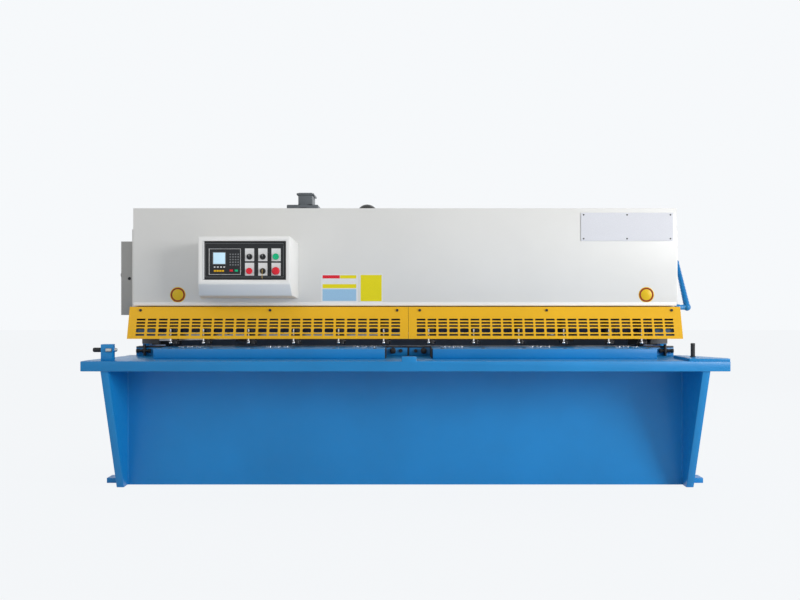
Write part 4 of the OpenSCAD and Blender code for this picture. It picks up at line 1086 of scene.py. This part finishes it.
# %% Cylinders and pivots
ram_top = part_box("main_cylinders")[1].z
pins_low, pins_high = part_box("pivot_pins")
for side, label in SIDES:
    centre = Vector((side * 1.61, 0.0, ram_top))
    ring = [(centre.x + 0.064 * math.cos(a), 0.064 * math.sin(a), centre.z - 0.02)
            for a in [math.pi * i / 4 for i in range(8)]]
    settle(copies(socket_screw(0.0065, 0.007, "+Z"), ring), "cylinder_screws_" + label, BLACK_STEEL)
    port = turned(mm((20, -4), (20, 10), (15, 11), (15, 22), (12.5, 24), (8, 24)), "+Y",
        (centre.x, 0.075, centre.z - 0.06), 6)
    settle(port, "cylinder_port_" + label, ZINC, slot="chrome")
    axis = Vector((side * pins_high.x, (pins_low.y + pins_high.y) / 2, (pins_low.z + pins_high.z) / 2))
    aim = OUTWARDS[side]
    ring = [(axis.x, axis.y + 0.058 * math.cos(a), axis.z + 0.058 * math.sin(a))
        for a in [math.pi * i / 3 for i in range(6)]]
    settle(copies(hex_bolt(0.008, 0.008, aim), ring), "pivot_bolts_" + label, ZINC)
    nipple = turned(mm((9, 0), (9, 4), (4.5, 5), (4.5, 10), (6, 12), (3, 16)), aim, axis, 18)
    settle(nipple, "grease_nipple_" + label, BRASS)
print("power pack dressed")

# %% [markdown]
# The electrical cabinet has a black plug in its front wall, louvres in its door, and a turned latch knob.

# %% Cabinet
case_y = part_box("electrical_cabinet")[0].y
plug = turned(mm((10, 0), (10, 3), (8.5, 5), (4, 6)), "-Y", (-1.849, case_y, 1.316), 24)
settle(plug, "cabinet_plug", BLACK_PLASTIC)
DOOR_X = -1.9045
louvres = [block((DOOR_X - 0.004, 0.02, z), (DOOR_X + 0.001, 0.2, z + 0.01), 0.0024, 3)
           for z in [1.12 + i * 0.02 for i in range(6)]]
settle(joined(louvres), "door_louvres", CABINET_GREY, "door")
latch = turned(mm((10.5, 0), (10.5, 2), (13, 3), (13, 9), (11.5, 11.5), (5, 11.8)), "-X",
               (DOOR_X, -0.06, 1.341), 32)
settle(latch, "door_latch", BLACK_PLASTIC, "door")

# %% [markdown]
# The blue hydraulic line on the right frame is a ribbed hose that gets wider towards its lower elbow. Its
# profile is turned along Z first, and the finished hose is then aimed from the upper port at the elbow.

# %% Hydraulic line
HOSE_TOP, HOSE_LOW = Vector((1.827, -0.1, 1.425)), Vector((1.862, -0.212, 1.124))
run = HOSE_LOW - HOSE_TOP
RIBS = 30
HOSE_R, HOSE_LOW_R, RIB = 0.011, 0.018, 0.0034
profile = [(HOSE_R, 0)]
for rib in range(RIBS):
    share = rib / RIBS
    start = run.length * share
    wall = HOSE_R + (HOSE_LOW_R - HOSE_R) * share
    profile += [(wall, start + 0.001), (wall + RIB, start + 0.004), (wall + RIB, start + 0.006),
        (wall, start + 0.009)]
profile.append((HOSE_LOW_R, run.length))
hose = turned(profile, "+Z", HOSE_TOP, 24)
hose.rotation_euler = run.to_track_quat("Z", "Y").to_euler()
UPPER_PORT, LOWER_PORT = (1.805, HOSE_TOP.y, HOSE_TOP.z), (1.78, HOSE_LOW.y, HOSE_LOW.z)
line_parts = [hose, turned(mm((19, 0), (19, 20), (17, 22)), "+X", UPPER_PORT, 32),
              turned(mm((17, 0), (20, 4), (20, 30), (17, 34), (17, 82)), "+X", LOWER_PORT, 32)]
for place, radius in ((HOSE_TOP, 0.015), (HOSE_LOW, 0.0235)):
    dome = [(max(0.001, radius * math.sin(math.pi * i / 16)), -radius * math.cos(math.pi * i / 16))
        for i in range(17)]
    line_parts.append(turned(dome, "+Z", place - Vector((0, 0, radius)), 32))
line = joined(line_parts)
settle(line, "hydraulic_line", HOSE_PAINT, angle=40)
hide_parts("hold_down_pipe")
NUT = mm((18.5, 0), (18.5, 12), (16.5, 14), (13.5, 14), (13.5, 20))
nuts = [turned(NUT, "+X", port, 6) for port in (UPPER_PORT, LOWER_PORT)]
settle(joined(nuts), "pipe_nuts", ZINC, slot="chrome")

# %% [markdown]
# Each guard half has a stiff end sheet. Its screws sit on the outside, and a dark line of shadow runs
# between the halves because their edges stand two millimetres apart.

# %% Guard ends
for side, label in SIDES:
    low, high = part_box("finger_guard_" + label)
    x = low.x if side < 0 else high.x
    heads = copies(button_screw(HOOD_SCREW, OUTWARDS[side]),
        [(x, y, z) for y, z in ((-0.3, 1.09), (-0.26, 0.99), (-0.34, 0.97))])
    settle(heads, "guard_end_screws_" + label, ZINC)

# %% [markdown]
# Behind the beam the back gauge runs on two guides. Its lead screws get a real thread look from a row of
# rings, and its geared motor gets a fan cover and flange screws.

# %% Back gauge
LEAD_X, LEAD_Z, LEAD_R, GROOVE_R = 1.01, 0.934, 0.0128, 0.0116
threads = []
for side in (-1, 1):
    rings = [(LEAD_R, 0)]
    for i in range(56):
        start = 0.002 + i * 0.0088
        rings += [(LEAD_R, start), (GROOVE_R, start + 0.0022), (GROOVE_R, start + 0.0044),
            (LEAD_R, start + 0.0066)]
    threads.append(turned(rings, "+Y", (side * LEAD_X, 0.3, LEAD_Z), 20))
settle(joined(threads), "gauge_screw_threads", GROUND_STEEL, "beam")
gear_x, gear_y = -0.72, 0.822
fan = turned(mm((34.5, 0), (34.5, 30), (31, 36), (26, 36.5), (26, 33), (22, 33), (22, 36.5), (16, 36.5),
    (16, 33), (12, 33), (12, 36.5)), "+Z", (gear_x, gear_y, 1.095), 40)
settle(fan, "gear_motor_fan_cover", MOTOR_GREY, "beam")
heads = copies(socket_screw(0.0045, 0.005, "+Z"), [(gear_x + dx, gear_y + dy, 0.979)
    for dx in (-0.045, 0.045) for dy in (-0.028, 0.01)])
settle(heads, "gear_motor_screws", BLACK_STEEL, "beam")
saddle_screws = copies(socket_screw(0.005, 0.005, "+Z"),
    [(side * x, y, 0.954) for side in (-1, 1) for x in (1.0577, 1.1423) for y in (0.285, 0.35)])
settle(saddle_screws, "gauge_saddle_screws", BLACK_STEEL, "beam")
end_bolts = copies(hex_bolt(0.008, 0.008, "+Y"), [(side * 1.0, 0.84, z) for side in (-1, 1)
    for z in (0.912, 0.958)])
settle(end_bolts, "gauge_block_bolts", ZINC, "beam")
print("gauge and cabinet dressed")


# %% [markdown]
# The studio is a pale floor and a pale world. Both look the same plain white to the camera and in
# reflections, while the light that they give to the machine is set on its own. One large soft lamp stands
# at the right, so the machine is brighter towards that end, as in the photograph. A weak one fills the
# left, and one lights the back.

# %% Studio
BACKGROUND = (0.925, 0.945, 0.965, 1)
WORLD_LIGHT = 0.5


def seen_directly(add, link):
    """1 for camera, mirror and glass rays, 0 for the light that falls on the machine."""
    path = add("LightPath")
    first = add("Math", operation="MAXIMUM")
    link(path.outputs["Is Camera Ray"], first.inputs[0])
    link(path.outputs["Is Glossy Ray"], first.inputs[1])
    both = add("Math", operation="MAXIMUM")
    link(first.outputs[0], both.inputs[0])
    link(path.outputs["Is Transmission Ray"], both.inputs[1])
    return both.outputs[0]


world = bpy.data.worlds.new("studio")
bpy.context.scene.world = world
world.use_nodes = True
tree = world.node_tree
tree.nodes.clear()

add, link = adder(tree), tree.links.new
seen, choice = seen_directly(add, link), add("MixShader")
shown = add("Background", Color=BACKGROUND, Strength=1)
lit = add("Background", Color=(1, 1, 1, 1), Strength=WORLD_LIGHT)
link(seen, choice.inputs[0])
link(lit.outputs[0], choice.inputs[1])
link(shown.outputs[0], choice.inputs[2])
link(choice.outputs[0], add("OutputWorld").inputs[0])

# %% Floor
bpy.ops.mesh.primitive_plane_add(size=60, location=(0, 0, -0.0005))
floor = bpy.context.object
floor.name = "studio_floor"
mat, add, link, bsdf = new_material("floor_paper", Roughness=0.9, Specular_IOR_Level=0.1)
bsdf.inputs["Base Color"].default_value = (0.8, 0.81, 0.82, 1)
paper = mapped(add, link, noise_from(add, link, 60), 0.86, 0.94)
link(paper, bsdf.inputs["Roughness"])
glow, blend = add("Emission", Color=BACKGROUND), add("MixShader")
seen = seen_directly(add, link)
share = add("Math", operation="MULTIPLY")
share.inputs[1].default_value = 0.95
link(seen, share.inputs[0])
link(share.outputs[0], blend.inputs[0])
link(bsdf.outputs[0], blend.inputs[1])
link(glow.outputs[0], blend.inputs[2])
output = [n for n in mat.node_tree.nodes if n.type == "OUTPUT_MATERIAL"][0]
link(blend.outputs[0], output.inputs["Surface"])
floor.data.materials.append(mat)


# %% Lamps
def soft_lamp(name, place, target, size, watts):
    bpy.ops.object.light_add(type="AREA", location=place)
    lamp = bpy.context.object
    lamp.name = name
    lamp.data.shape = "RECTANGLE"
    lamp.data.size, lamp.data.size_y = size
    lamp.data.energy = watts
    lamp.rotation_euler = (Vector(target) - Vector(place)).to_track_quat("-Z", "Y").to_euler()
    return lamp


soft_lamp("key_lamp", (7.2, -5.6, 3.1), (0.6, -0.3, 1.0), (3.0, 3.0), 410)
soft_lamp("fill_lamp", (-5.0, -5.5, 3.6), (-0.8, -0.3, 1.0), (3, 3), 22)
soft_lamp("back_lamp", (1.5, 5.5, 4.5), (0, 0.3, 1.0), (4, 3), 90)
print("studio made")
